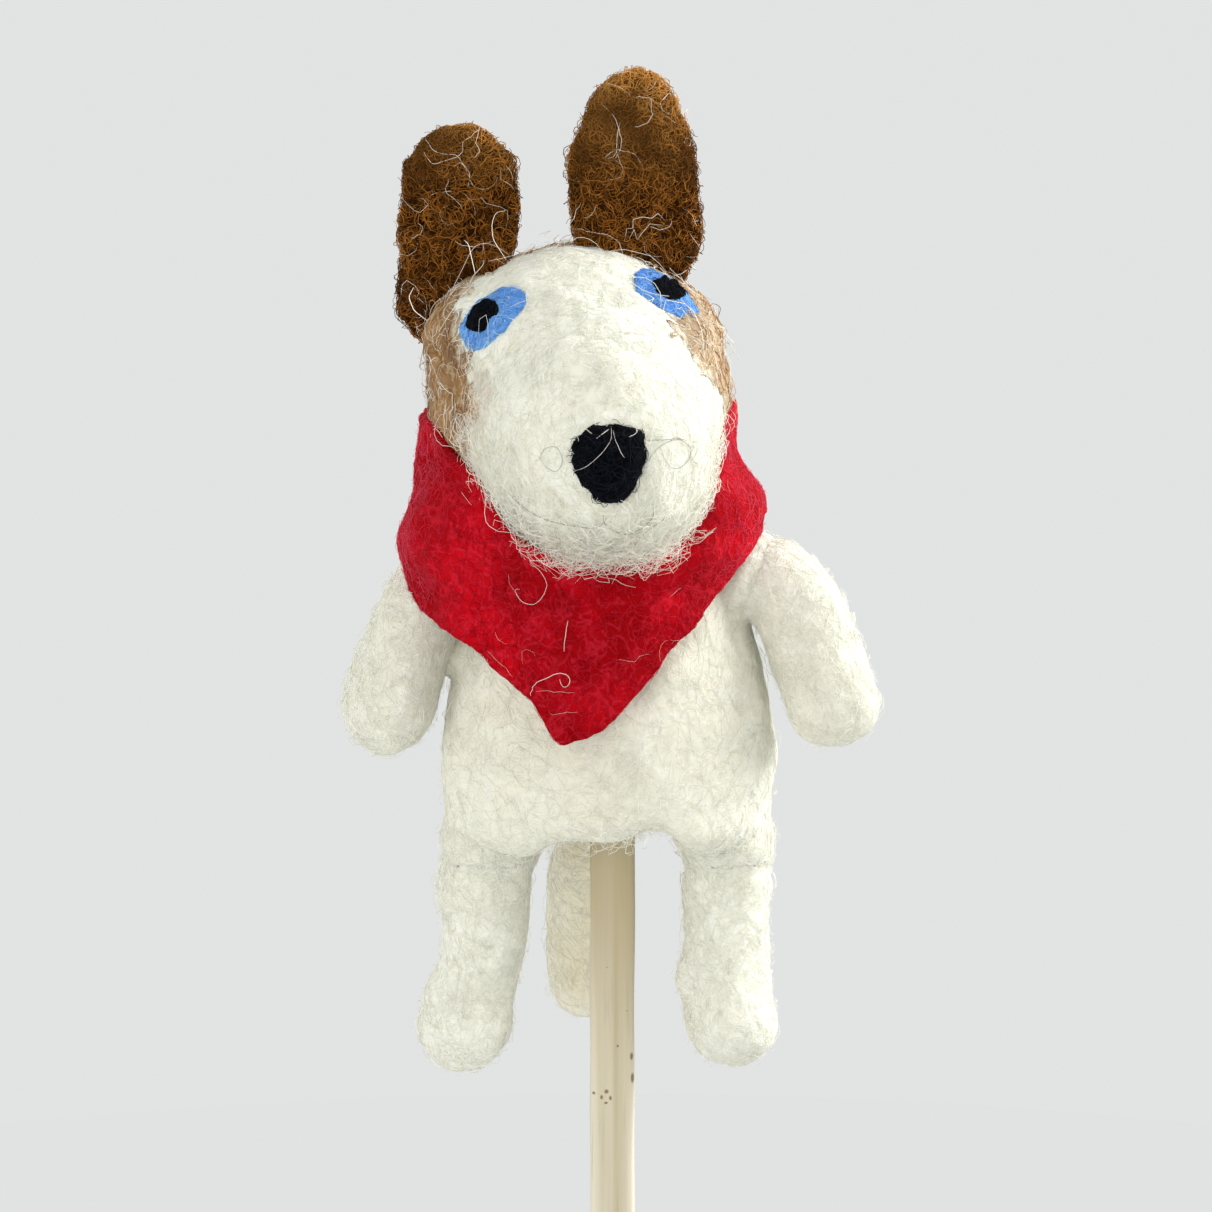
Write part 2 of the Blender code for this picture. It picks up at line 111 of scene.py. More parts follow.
def in_scene(name, mesh):
    """A smooth-shaded object for a mesh."""
    mesh.polygons.foreach_set("use_smooth", np.ones(len(mesh.polygons), bool))
    obj = bpy.data.objects.new(name, mesh)
    bpy.context.scene.collection.objects.link(obj)
    return obj


def from_bmesh(name, shape):
    mesh = bpy.data.meshes.new(name)
    shape.to_mesh(mesh)
    shape.free()
    return in_scene(name, mesh)


def mesh_object(name, points, *face_groups):
    """A smooth-shaded mesh from points and arrays of equal-sided faces."""
    mesh = bpy.data.meshes.new(name)
    mesh.vertices.add(len(points))
    mesh.vertices.foreach_set("co", (np.asarray(points) * MM).astype(np.float32).ravel())
    corners = np.concatenate([group.ravel() for group in face_groups]).astype(np.int32)
    sides = np.concatenate([np.full(len(group), group.shape[1]) for group in face_groups])
    starts = (np.cumsum(sides) - sides).astype(np.int32)
    mesh.loops.add(len(corners))
    mesh.loops.foreach_set("vertex_index", corners)
    mesh.polygons.add(len(sides))
    mesh.polygons.foreach_set("loop_start", starts)
    mesh.update(calc_edges=True)
    mesh.validate()
    return in_scene(name, mesh)


def grid_faces(rows, columns, closed):
    """Quads of a grid whose columns run round, joined up when closed."""
    across = columns if closed else columns - 1
    i, j = np.meshgrid(np.arange(rows - 1), np.arange(across), indexing="ij")
    a = (i * columns + j).ravel()
    b = (i * columns + (j + 1) % columns).ravel()
    return np.stack([a, b, b + columns, a + columns], 1)


def bake_modifiers(obj):
    """Keeps what the modifiers make as the object's own mesh."""
    graph = bpy.context.evaluated_depsgraph_get()
    made = bpy.data.meshes.new_from_object(obj.evaluated_get(graph))
    obj.modifiers.clear()
    obj.data = made
    made.polygons.foreach_set("use_smooth", np.ones(len(made.polygons), bool))
    return obj


def felt_over(name, nodes, fillers=(), voxel=0.4, rounds=10):
    """One closed felt surface over copies of frame solids, with balls that fill their sockets."""
    shape = bmesh.new()
    for node in nodes:
        shape.from_mesh(frame["nodes"][node].data)
    for centre, radius in fillers:
        at = Matrix.Translation(Vector(centre) * MM)
        bmesh.ops.create_icosphere(shape, subdivisions=4, radius=radius * MM, matrix=at)
    obj = from_bmesh(name, shape)
    remesh = obj.modifiers.new("voxels", "REMESH")
    remesh.mode = "VOXEL"
    remesh.voxel_size = voxel * MM
    bake_modifiers(obj)
    smooth = obj.modifiers.new("soften", "SMOOTH")
    smooth.factor = 0.5
    smooth.iterations = rounds
    return bake_modifiers(obj)


def lumps(points, size, seed):
    """A smooth random field of about plus or minus one, with bumps about `size` across."""
    waves = 28
    rng = np.random.default_rng(seed)
    ways = unit(rng.normal(size=(waves, 3))) * (2 * math.pi / size)
    ways *= rng.uniform(0.6, 1.5, (waves, 1))
    phases = rng.uniform(0, 2 * math.pi, waves)
    return np.sin(points @ ways.T + phases).sum(1) * math.sqrt(2 / waves)


def roughen(obj, seed, coarse=0.11, fine=0.035, size=7.0):
    """The uneven surface that a felting needle leaves."""
    points = coords(obj.data)
    push = coarse * lumps(points, size, seed)
    push += 0.35 * coarse * lumps(points, size * 0.4, seed + 1)
    push += fine * lumps(points, 1.3, seed + 2)
    set_coords(obj.data, points + normals(obj.data) * push[:, None])
    return obj


def smooth_step(t):
    t = np.clip(t, 0, 1)
    return t * t * (3 - 2 * t)


def dress(obj, body, slot, material, *replaced):
    """Gives a piece its material, bakes it in place where its body is a bend and else hangs it on
    its body, and hides the frame solids it stands for. The slot is not used.
    """
    obj.data.materials.clear()
    obj.data.materials.append(material)
    if body in BENDS:
        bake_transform(obj)
    else:
        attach(obj, body)
    if replaced:
        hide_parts(*replaced)
    return obj


# ---- fibres

LYING_STEPS = 6
LOOSE_STEPS = 7


class Felt:
    """A felt surface that fibres are laid on."""

    def __init__(self, obj):
        mesh = obj.data
        mesh.calc_loop_triangles()
        triangles = np.empty(len(mesh.loop_triangles) * 3, np.int32)
        mesh.loop_triangles.foreach_get("vertices", triangles)
        self.points = coords(mesh)
        self.triangles = triangles.reshape(-1, 3)
        a, b, c = (self.points[self.triangles[:, i]] for i in range(3))
        self.area = np.cumsum(np.linalg.norm(np.cross(b - a, c - a), axis=1) / 2)
        self.tree = BVHTree.FromPolygons(self.points.tolist(), self.triangles.tolist())

    def scatter(self, rng, count, keep):
        """Random places on the surface, only where keep() says so."""
        found = np.zeros((0, 3))
        while len(found) < count:
            chosen = np.searchsorted(self.area, rng.uniform(0, self.area[-1], count))
            u = np.sqrt(rng.uniform(0, 1, (count, 1)))
            v = rng.uniform(0, 1, (count, 1))
            a, b, c = (self.points[self.triangles[chosen, i]] for i in range(3))
            places = (1 - u) * a + u * (1 - v) * b + u * v * c
            if keep is not None:
                places = places[keep(places)]
            found = np.concatenate([found, places])
        return found[:count]

    def snap(self, points):
        """Nearest surface points and their normals."""
        near = [self.tree.find_nearest(p)[:2] for p in points.tolist()]
        return np.array([n[0] for n in near]), np.array([n[1] for n in near])


def spin(vectors, axes, angles):
    """Turns vectors about axes at right angles to them."""
    angles = angles[:, None]
    return vectors * np.cos(angles) + np.cross(axes, vectors) * np.sin(angles)


def walk(felt, rng, starts, length, curl, steps):
    """Paths that wander over the surface, with the surface normal at each point."""
    count = len(starts)
    place, normal = felt.snap(starts)
    way = unit(np.cross(np.cross(normal, rng.normal(size=(count, 3))), normal))
    bend = rng.normal(0, curl, count)
    stride = length / steps
    places, ups = [place], [normal]
    for _ in range(steps):
        way = spin(way, normal, (bend + rng.normal(0, 0.7 * curl, count)) * stride)
        place, normal = felt.snap(place + way * stride[:, None])
        way = unit(way - normal * (way * normal).sum(1, keepdims=True))
        places.append(place)
        ups.append(normal)
    return np.stack(places, 1), np.stack(ups, 1)


def lying(felt, rng, count, length, curl, lift, keep=None):
    """Fibres felted flat: both ends buried and the middle a little proud."""
    starts = felt.scatter(rng, count, keep)
    places, ups = walk(felt, rng, starts, rng.uniform(*length, count), curl, LYING_STEPS)
    along = np.linspace(0, 1, LYING_STEPS + 1)
    proud = 0.02 + rng.uniform(0.2, 1.0, (count, 1)) * lift
    rise = -0.02 + proud * np.sin(math.pi * along) ** 0.6
    return places + ups * rise[:, :, None], ups


def loose(felt, rng, count, length, rise, curl=0.7, looped=0.4, keep=None):
    """Fibres that stand off the felt: some free at one end, some looping back."""
    starts = felt.scatter(rng, count, keep)
    places, ups = walk(felt, rng, starts, rng.uniform(*length, count), curl, LOOSE_STEPS)
    along = np.linspace(0, 1, LOOSE_STEPS + 1)
    height = rng.uniform(*rise, (count, 1))
    is_loop = rng.uniform(0, 1, (count, 1)) < looped
    lifted = np.where(is_loop, np.sin(math.pi * along) ** 0.8, along ** 1.3) * height - 0.05
    sway = np.cross(ups, unit(np.gradient(places, axis=1)))
    wave = np.sin(along * rng.uniform(3, 9, (count, 1)) + rng.uniform(0, 6.3, (count, 1)))
    swing = wave * along * height * rng.uniform(0.05, 0.45, (count, 1))
    return places + ups * lifted[:, :, None] + sway * swing[:, :, None], ups


def tubes(name, strands, radius, seed):
    """Closed three-sided tubes along strands, each with its own shade from 0 to 1."""
    rng = np.random.default_rng(seed)
    points, rings, shades, quads, caps = [], 0, [], [], []
    for paths, ups in strands:
        count, stops = paths.shape[:2]
        along = unit(np.gradient(paths, axis=1))
        up = ups.mean(1, keepdims=True) + rng.normal(0, 0.25, (count, 1, 3))
        side = unit(np.cross(along, up))
        other = np.cross(side, along)
        taper = 0.35 + 0.65 * np.sin(math.pi * np.linspace(0.08, 0.92, stops)) ** 0.7
        thick = radius * rng.uniform(0.65, 1.25, (count, 1)) * taper
        ring = []
        for corner in range(3):
            angle = 2 * math.pi * corner / 3
            turned = side * math.cos(angle) + other * math.sin(angle)
            ring.append(paths + turned * thick[:, :, None])
        points.append(np.stack(ring, 2).reshape(-1, 3))
        base = rings + np.arange(count)[:, None, None] * stops * 3
        row = np.arange(stops - 1)[None, :, None] * 3
        a = base + row + np.arange(3)
        b = base + row + (np.arange(3) + 1) % 3
        quads.append(np.stack([a, b, b + 3, a + 3], -1).reshape(-1, 4))
        first = base[:, 0, 0]
        last = first + (stops - 1) * 3
        caps.append(np.stack([first + 2, first + 1, first], 1))
        caps.append(np.stack([last, last + 1, last + 2], 1))
        shades.append(np.repeat(rng.uniform(0, 1, count), stops * 3))
        rings += count * stops * 3
    obj = mesh_object(name, np.concatenate(points), np.concatenate(quads), np.concatenate(caps))
    shade = obj.data.attributes.new("shade", "FLOAT", "POINT")
    shade.data.foreach_set("value", np.concatenate(shades).astype(np.float32))
    return obj


# ---- materials

def rgb(red, green, blue):
    """A scene colour from display values of 0 to 255."""
    def linear(value):
        value /= 255
        return value / 12.92 if value <= 0.04045 else ((value + 0.055) / 1.055) ** 2.4
    return (linear(red), linear(green), linear(blue), 1.0)


class Paint:
    """A node material being put together."""

    def __init__(self, name, sheen=0.3, subsurface=0.0, specular=0.3, tint=(1, 1, 1, 1)):
        self.material = bpy.data.materials.new(name)
        self.material.use_nodes = True
        self.tree = self.material.node_tree
        self.shader = self.tree.nodes["Principled BSDF"]
        settings = {"Sheen Weight": sheen, "Sheen Roughness": 0.55, "Sheen Tint": tint,
                    "Specular IOR Level": specular}
        if subsurface:
            settings.update({"Subsurface Weight": subsurface, "Subsurface Scale": 0.0012,
                             "Subsurface Radius": (1.0, 0.85, 0.7)})
        for key, value in settings.items():
            self.shader.inputs[key].default_value = value
        self.place = self.tree.nodes.new("ShaderNodeTexCoord").outputs["Object"]
        self.seed = 0.0

    def node(self, kind, inputs, **settings):
        made = self.tree.nodes.new("ShaderNode" + kind)
        for key, value in settings.items():
            setattr(made, key, value)
        for key, value in inputs.items():
            self.feed(made.inputs[key], value)
        return made

    def feed(self, socket, value):
        if isinstance(value, bpy.types.NodeSocket):
            self.tree.links.new(value, socket)
        else:
            socket.default_value = value

    def noise(self, size, detail=2.0, distortion=0.0, place=None):
        """Noise whose blobs are about `size` millimetres across."""
        self.seed += 7.3
        return self.node(
            "TexNoise",
            {"Vector": place or self.place, "W": self.seed, "Scale": 0.55 / (size * MM),
             "Detail": detail, "Distortion": distortion},
            noise_dimensions="4D",
        ).outputs["Fac"]

    def span(self, value, low, high, start=0.0, end=1.0):
        inputs = {"Value": value, "From Min": low, "From Max": high, "To Min": start,
                  "To Max": end}
        return self.node("MapRange", inputs, interpolation_type="SMOOTHSTEP").outputs["Result"]

    def clouds(self, size, detail, distortion, low, high, share=1.0):
        """Soft-edged patches, from 0 outside them to `share` in them."""
        return self.span(self.noise(size, detail, distortion), low, high, 0.0, share)

    def maths(self, kind, a, b=0.0):
        return self.node("Math", {0: a, 1: b}, operation=kind).outputs["Value"]

    def mix(self, share, a, b, way="MIX"):
        inputs = {"Factor": share, 6: a, 7: b}
        return self.node("Mix", inputs, data_type="RGBA", blend_type=way).outputs[2]

    def strands(self, size, width):
        """Thin curling lines, like fibres felted into a web."""
        field = self.noise(size, 0.6, 1.4)
        apart = self.maths("ABSOLUTE", self.maths("SUBTRACT", field, 0.5))
        return self.span(apart, 0.0, width, 1.0, 0.0)

    def painted_light_ramp(self, colour, tip):
        """Painted light: colour that turns to a lighter one between two places along an axis, where
        a tip is given.
        """
        if tip is None:
            return colour
        axis, low, high, share, other = tip
        amount = self.span(self.axis(axis), low * MM, high * MM, 0.0, share)
        return self.mix(amount, colour, other)

    def axis(self, name):
        return self.node("SeparateXYZ", {"Vector": self.place}).outputs[name]

    def napped(self, colour, lines, nap, depth=0.16):
        """Finishes with a web of raised lines over a fine nap."""
        raised = self.maths("MULTIPLY", lines, 0.7)
        height = self.maths("ADD", raised, self.maths("MULTIPLY", nap, 0.9))
        return self.finish(colour, self.span(nap, 0.2, 0.8, 0.82, 1.0), height, depth)

    def finish(self, colour, roughness, height, depth, strength=0.7):
        bump = self.node("Bump", {"Height": height, "Strength": strength, "Distance": depth * MM})
        self.feed(self.shader.inputs["Base Color"], colour)
        self.feed(self.shader.inputs["Roughness"], roughness)
        self.feed(self.shader.inputs["Normal"], bump.outputs["Normal"])
        return self.material


def wool(name, base, shadow, light, warm_patch=None, warm_share=0.0, web=0.45, sheen=0.35,
         subsurface=0.0, depth=0.16, shadow_mottle=None, tip=None):
    """Needle-felted wool: a cloudy colour, a web of fibres at three sizes painted lighter as
    painted highlight, and a fine nap whose hollows are painted darker as painted shade.
    """
    paint = Paint(name, sheen, subsurface, 0.05, light)
    colour = paint.mix(paint.clouds(5.0, 3.0, 0.6, 0.36, 0.68), shadow, base)
    # Warm yellowish patches, laid at random.
    if warm_patch is not None:
        colour = paint.mix(paint.clouds(7.0, 3.0, 0.8, 0.5, 0.72, warm_share), colour, warm_patch)
    # Painted shade: small dark dots of the mottle colour, as shadows between fibres.
    if shadow_mottle is not None:
        colour = paint.mix(paint.clouds(1.3, 2.5, 0.9, 0.48, 0.72, 0.6), colour, shadow_mottle)
    # Painted light: a ramp to a lighter colour along an axis, where a tip is given.
    colour = paint.painted_light_ramp(colour, tip)
    lines = paint.maths("MAXIMUM", paint.strands(2.6, 0.030), paint.strands(1.5, 0.040))
    lines = paint.maths("MAXIMUM", lines, paint.strands(0.85, 0.060))
    nap = paint.noise(0.28, 3.0, 0.5)
    grain = paint.span(nap, 0.3, 0.72)
    # Painted highlight: the raised fibre web is painted in the light colour, as fibres catching the
    # light.
    colour = paint.mix(paint.maths("MULTIPLY", lines, web), colour, light)
    # Painted shade: the low places of the nap are darkened with the shadow colour.
    nap_hollow_shade = paint.maths("MULTIPLY", paint.maths("SUBTRACT", 1.0, grain), 0.35)
    colour = paint.mix(nap_hollow_shade, colour, shadow)
    return paint.napped(colour, lines, nap, depth)


def fibre(name, dark, light, sheen=0.25, tip=None, cloud=0.0):
    """Single wool fibres, each a little lighter or darker than the next."""
    paint = Paint(name, sheen, 0.0, 0.05, light)
    shade = paint.node("Attribute", {}, attribute_name="shade").outputs["Fac"]
    drift = paint.noise(1.6, 1.0)
    amount = paint.maths("MULTIPLY", shade, 0.8)
    amount = paint.maths("ADD", amount, paint.maths("MULTIPLY", drift, 0.25))
    # Painted light: a ramp to a lighter colour along an axis, where a tip is given.
    colour = paint.painted_light_ramp(paint.mix(paint.span(amount, 0.1, 0.95), dark, light), tip)
    if cloud:
        colour = paint.mix(paint.clouds(4.5, 2.0, 0.5, 0.47, 0.66, cloud), colour, dark)
    scales = paint.noise(0.12, 1.0)
    return paint.finish(colour, paint.span(scales, 0.2, 0.8, 0.55, 0.8), scales, 0.01, 0.4)


def tan_wool():
    """Brown wool needled over white: it thins to the white below it at its edge."""
    paint = Paint("tan_wool", 0.1)
    colour = paint.mix(paint.clouds(3.5, 3.0, 0.6, 0.34, 0.66), rgb(108, 74, 38), rgb(156, 116, 68))
    lines = paint.maths("MAXIMUM", paint.strands(2.0, 0.035), paint.strands(1.0, 0.05))
    colour = paint.mix(paint.maths("MULTIPLY", lines, 0.5), colour, rgb(206, 182, 140))
    # The patch turns lighter towards +X.
    lighter_to_plus_x = paint.span(paint.axis("X"), 0.001, 0.010, 0.0, 0.4)
    colour = paint.mix(lighter_to_plus_x, colour, rgb(226, 208, 178))
    edge = paint.node("Attribute", {}, attribute_name="edge").outputs["Fac"]
    ragged = paint.maths("ADD", edge, paint.maths("MULTIPLY", paint.noise(0.8, 3.0, 1.0), 1.6))
    colour = paint.mix(paint.span(ragged, 0.5, 3.2), rgb(232, 226, 206), colour)
    return paint.napped(colour, lines, paint.noise(0.28, 3.0, 0.5))


# Dark specks on the stick's front: x, height, size, and how many times taller than wide.
STICK_MARKS = ((1.95, 133.7, 0.22, 2.4), (2.05, 131.4, 0.24, 3), (0.55, 134.8, 0.16, 1.2),
               (-0.6, 130, 0.3, 1), (-1.1, 129.4, 0.2, 1.6), (-0.2, 129.3, 0.2, 1.6),
               (-1.9, 129.8, 0.22, 1), (-0.65, 128.8, 0.25, 0.7))


def bamboo():
    """Split bamboo: long pale bands, dark vessel lines, a few specks, a ring mark, and a painted
    shadow that darkens it towards the top under the body.
    """
    paint = Paint("bamboo", 0.0, 0.0, 0.4)

    def scaled(scale):
        return paint.node("Mapping", {"Vector": paint.place, "Scale": scale}).outputs["Vector"]

    stretched = scaled((1.0, 1.0, 0.03))
    bands = paint.noise(1.1, 2.0, 0.0, stretched)
    vessels = paint.noise(0.22, 3.0, 0.0, stretched)
    colour = paint.mix(paint.span(bands, 0.35, 0.65), rgb(200, 189, 161), rgb(224, 215, 194))
    lines = paint.span(vessels, 0.56, 0.72, 0.0, 0.35)
    colour = paint.mix(lines, colour, rgb(160, 142, 104))
    across = paint.axis("X")
    # A darker band down the stick, a little off its middle.
    from_band_line = paint.maths("ABSOLUTE", paint.maths("SUBTRACT", across, 0.00035))
    dark_band = paint.span(from_band_line, 0.0, 0.0006, 0.18, 0.0)
    colour = paint.mix(dark_band, colour, rgb(172, 156, 118))
    colour = paint.mix(paint.clouds(0.5, 2.0, 0.3, 0.735, 0.77, 0.8), colour, rgb(120, 88, 48))
    # Painted shadow: the stick darkens towards its top, where the body shades it.
    top = paint.span(paint.axis("Z"), 0.128, 0.156, 0.0, 0.75)
    colour = paint.mix(top, colour, rgb(170, 153, 114))
    front = paint.span(paint.axis("Y"), -0.0004, -0.0012, 0.0, 1.0)
    for x, z, size, tall in STICK_MARKS:
        ends = {0: scaled((1.0, 0.0, 1.0 / tall)), 1: (x * MM, 0.0, z * MM / tall)}
        away = paint.node("VectorMath", ends, operation="DISTANCE").outputs["Value"]
        spot = paint.span(away, 0.4 * size * MM, size * MM, 0.85, 0.0)
        colour = paint.mix(paint.maths("MULTIPLY", spot, front), colour, rgb(112, 92, 48))
    return paint.finish(colour, paint.span(bands, 0.3, 0.7, 0.55, 0.42), vessels, 0.05, 0.5)


# ---- head

SKULL_RADIUS = 15.3
MUZZLE_RADIUS = 10.3
TEMPLE_AT = np.array([-5.8, 0.5, 4.0])
TEMPLE_RADIUS = 9.2
FURTHEST = 40.0  # no point of the head is further than this from its middle


def head_balls():
    """The two balls that the head is stretched over: skull behind, muzzle in front."""
    corners = np.array([box_mm("head_patch"), box_mm("head")])
    low, high = corners[:, 0].min(0), corners[:, 1].max(0)
    skull = np.array([(low[0] + high[0]) / 2, high[1] - SKULL_RADIUS, high[2] - SKULL_RADIUS])
    muzzle = np.array([skull[0] + 2.9, low[1] + MUZZLE_RADIUS, skull[2] - 2.8])
    return skull, muzzle


def head_depth(points, skull, muzzle):
    """Distance outside the skin stretched over the two balls, negative inside."""
    line = muzzle - skull
    long2 = line @ line
    drop = SKULL_RADIUS - MUZZLE_RADIUS
    flat2 = long2 - drop * drop
    out = points - skull
    y = out @ line
    z = y - long2
    x2 = ((out * long2 - np.outer(y, line)) ** 2).sum(1)
    y2 = y * y * long2
    z2 = z * z * long2
    k = math.copysign(drop * drop, drop) * x2
    side = (np.sqrt(x2 * flat2 / long2) + y * drop) / long2 - SKULL_RADIUS
    front = np.sqrt(x2 + z2) / long2 - MUZZLE_RADIUS
    back = np.sqrt(x2 + y2) / long2 - SKULL_RADIUS
    depth = np.where(np.sign(y) * flat2 * y2 < k, back, side)
    return np.where(np.sign(z) * flat2 * z2 > k, front, depth)


def blend_min(a, b, width):
    """The nearer of two depths, rounded where they meet."""
    share = np.clip(0.5 + 0.5 * (b - a) / width, 0, 1)
    return b * (1 - share) + a * share - width * share * (1 - share)


def make_head(white):
    """A fine ball whose points go out along their rays to the head's surface."""
    skull, muzzle = head_balls()
    centre = (skull + muzzle) / 2
    temple = skull + TEMPLE_AT

    def depth(points):
        ball = np.linalg.norm(points - temple, axis=1) - TEMPLE_RADIUS
        return blend_min(head_depth(points, skull, muzzle), ball, 1.5)

    shape = bmesh.new()
    bmesh.ops.create_icosphere(shape, subdivisions=6, radius=1.0)
    head = from_bmesh("head_wool", shape)
    rays = coords(head.data) * MM
    near, far = np.zeros(len(rays)), np.full(len(rays), FURTHEST)
    for _ in range(26):
        half = (near + far) / 2
        inside = depth(centre + rays * half[:, None]) < 0
        near, far = np.where(inside, half, near), np.where(inside, far, half)
    set_coords(head.data, centre + rays * near[:, None])
    points = coords(head.data)
    z = points[:, 2]
    squeeze = 0.04 * smooth_step((209 - z) / 5) * smooth_step((z - 190) / 6)
    points[:, 0] = skull[0] + (points[:, 0] - skull[0]) * (1 - squeeze)
    points[:, 2] -= 0.6 * smooth_step((z - 210) / 5)
    set_coords(head.data, points)
    roughen(head, 11, 0.16, 0.035, 7.0)
    return dress(head, "head", "white_wool", white, "head")


PATCH_EDGE_RIGHT = ((191, -9), (193, -9.6), (197, -12.2), (202.2, -14.8), (206.5, -10.5),
                    (210, -6.4), (214, -0.5), (217, 2))
PATCH_EDGE_LEFT = ((191, -3), (198, -5), (201.6, -8.2), (205.3, -14), (208.6, -14.5), (211, -8),
                   (214, -1.5), (217, 2))
PATCH_FOOT = 190.6


def patch_depth(points):
    """How far inside the brown patch a point lies, measured back from its front edge."""
    edges = []
    for edge in (PATCH_EDGE_RIGHT, PATCH_EDGE_LEFT):
        heights, fronts = np.array(edge).T
        edges.append(np.interp(points[:, 2], heights, fronts))
    side = smooth_step((points[:, 0] + 6.0) / 6.0)
    behind = points[:, 1] - edges[0] * (1 - side) - edges[1] * side
    return np.minimum(behind, points[:, 2] - PATCH_FOOT)


def make_patch(head, brown):
    """The brown felt over the back and cheeks, thinning to nothing at a ragged edge."""
    points = coords(head.data)
    ragged = 0.55 * lumps(points, 2.2, 41) + 0.35 * lumps(points, 0.9, 42)
    depth = patch_depth(points) + ragged
    shape = bmesh.new()
    shape.from_mesh(head.data)
    shape.verts.ensure_lookup_table()
    fade = shape.verts.layers.float.new("edge")
    for vertex, inside in zip(shape.verts, depth):
        vertex[fade] = inside
    bmesh.ops.delete(shape, geom=[v for v in shape.verts if v[fade] < 0], context="VERTS")
    for vertex in shape.verts:
        lift = 0.04 + 0.26 * min(vertex[fade] / 2.5, 1.0)
        vertex.co += vertex.normal * lift * MM
    patch = from_bmesh("head_patch_wool", shape)
    solid = patch.modifiers.new("thickness", "SOLIDIFY")
    solid.thickness = 0.6 * MM
    solid.offset = -1
    bake_modifiers(patch)
    return dress(patch, "head", "tan_wool", brown, "head_patch")


def pad(name, felt, centre, outline, height, base=0.0, bury=0.6, crown=2.2, rings=14, around=72):
    """A needled pad lying on felt, crowned in the middle; outline() gives its edge by angle."""
    centre, out = (found[0] for found in felt.snap(np.array([centre])))
    right = unit(np.cross((0, 0, 1), out))
    up = np.cross(out, right)
    angle = np.linspace(0, 2 * math.pi, around, endpoint=False)
    edge = outline(angle)
    share = np.sin(np.linspace(0, math.pi / 2, rings))
    top = []
    for t in share:
        for a, r in zip(angle, edge * t):
            top.append(centre + right * math.cos(a) * r + up * math.sin(a) * r)
    top = np.array(top)
    lying_at = []
    for place in top:
        hit = felt.tree.ray_cast(Vector(place + out * 8), Vector(-out))[0]
        lying_at.append(hit if hit is not None else felt.tree.find_nearest(Vector(place))[0])
    lying_at = np.array(lying_at)
    rise = base + height * (1 - np.repeat(share, around) ** crown) ** 0.6
    upper = lying_at + out * rise[:, None]
    lower = lying_at[-around:] - out * bury
    points = np.concatenate([upper, lower])
    walls = grid_faces(rings + 1, around, True)[around:]
    centre_fan = np.arange(around, 2 * around)[None, :]
    foot = (np.arange(around) + rings * around)[::-1][None, :]
    keep = np.arange(around, len(points))
    faces = [part - around for part in (walls[:, ::-1], centre_fan, foot)]
    return mesh_object(name, points[keep], *faces)


def round_edge(radius, seed, wobble=0.05, stretch=0.0, lean=0.0):
    """An edge by angle: a wobbly circle, drawn out by a share along its lean."""
    rng = np.random.default_rng(seed)
    amount, phase = rng.normal(0, wobble, 5), rng.uniform(0, 6.3, 5)

    def edge(a):
        uneven = sum(amount[k] * np.sin((k + 2) * a + phase[k]) / (k + 1) for k in range(5))
        return radius * (1 + uneven + stretch * np.cos(2 * (a - lean)))
    return edge


NOSE_OUTLINE = ((3.8, 1), (3.8, 2.2), (3.2, 3.3), (1.6, 3.5), (-0.2, 3.5), (-1.3, 3.4),
                (-2.3, 2.6), (-2.9, 1.6), (-2.8, 0.6), (-2.3, -0.8), (-1.4, -2.4), (-0.5, -3.4),
                (0.6, -3.9), (1.7, -3.6), (2.9, -2.2), (3.5, -0.8))


def nose_edge(angle):
    x, y = np.array(NOSE_OUTLINE).T
    turn = np.arctan2(y, x)
    order = np.argsort(turn)
    turn, reach = turn[order], np.hypot(x, y)[order]
    turn = np.concatenate([turn - 2 * math.pi, turn, turn + 2 * math.pi])
    spread = np.interp(np.mod(angle + math.pi, 2 * math.pi) - math.pi, turn, np.tile(reach, 3))
    return sum(np.roll(spread, k) for k in range(-5, 6)) / 11


IRIS_RADIUS = 3.7
PUPIL_RADIUS = 1.78
PUPIL_SHIFTS = np.array([[-0.35, 0, 0.4], [0.3, 0, -0.65]])
PUPIL_LEANS = (0.4, -0.4)


def make_face(head_felt, blue, black):
    """Irises, pupils and nose, needled on to the head."""
    made = []
    for number, side in enumerate(("left", "right")):
        low, high = box_mm("iris_" + side)
        iris = pad("iris_%s_wool" % side, head_felt, (low + high) / 2,
                   round_edge(IRIS_RADIUS, 50 + number), 0.75)
        roughen(iris, 52 + number, 0.05, 0.05, 2.5)
        made.append(dress(iris, "head", "blue_wool", blue, "iris_" + side))
        edge = round_edge(PUPIL_RADIUS, 54 + number, 0.02, 0.17, PUPIL_LEANS[number])
        pupil = pad("pupil_%s_wool" % side, Felt(iris),
                    middle("pupil_" + side) + PUPIL_SHIFTS[number], edge, 0.35, base=0.08, bury=0.3)
        roughen(pupil, 56 + number, 0.04, 0.05, 2.0)
        made.append(dress(pupil, "head", "black_wool", black, "pupil_" + side))
    nose = pad("nose_wool", head_felt, middle("nose"), nose_edge, 1.9, crown=2.6, rings=24,
               around=120)
    roughen(nose, 58, 0.06, 0.05, 3.0)
    made.append(dress(nose, "head", "black_wool", black, "nose"))
    return made


def crease(points, normal, centre):
    """A fold line across the front of an ear, and the swelling over it."""
    depth = 0.35
    front = smooth_step(-normal[:, 1] * 1.5)
    across = np.exp(-((points[:, 0] - centre[0]) / 4.2) ** 4)
    height = points[:, 2] - centre[2] - 0.25 * np.sin((points[:, 0] - centre[0]) * 0.5)
    dent = np.exp(-height ** 2)
    swell = np.exp(-((height - 2.6) / 1.6) ** 2)
    return front * across * (-depth * dent + 0.5 * depth * swell)


# Balls that carry each ear's inner edge down on to the head.
EAR_BALLS = {"left": (((-1.9, 0.6, 217.2), 1.9), ((0.4, 0.6, 216.2), 2.5)),
             "right": (((-11.2, 0.9, 216.6), 2.0), ((-12.2, 0.9, 214.6), 2.4))}


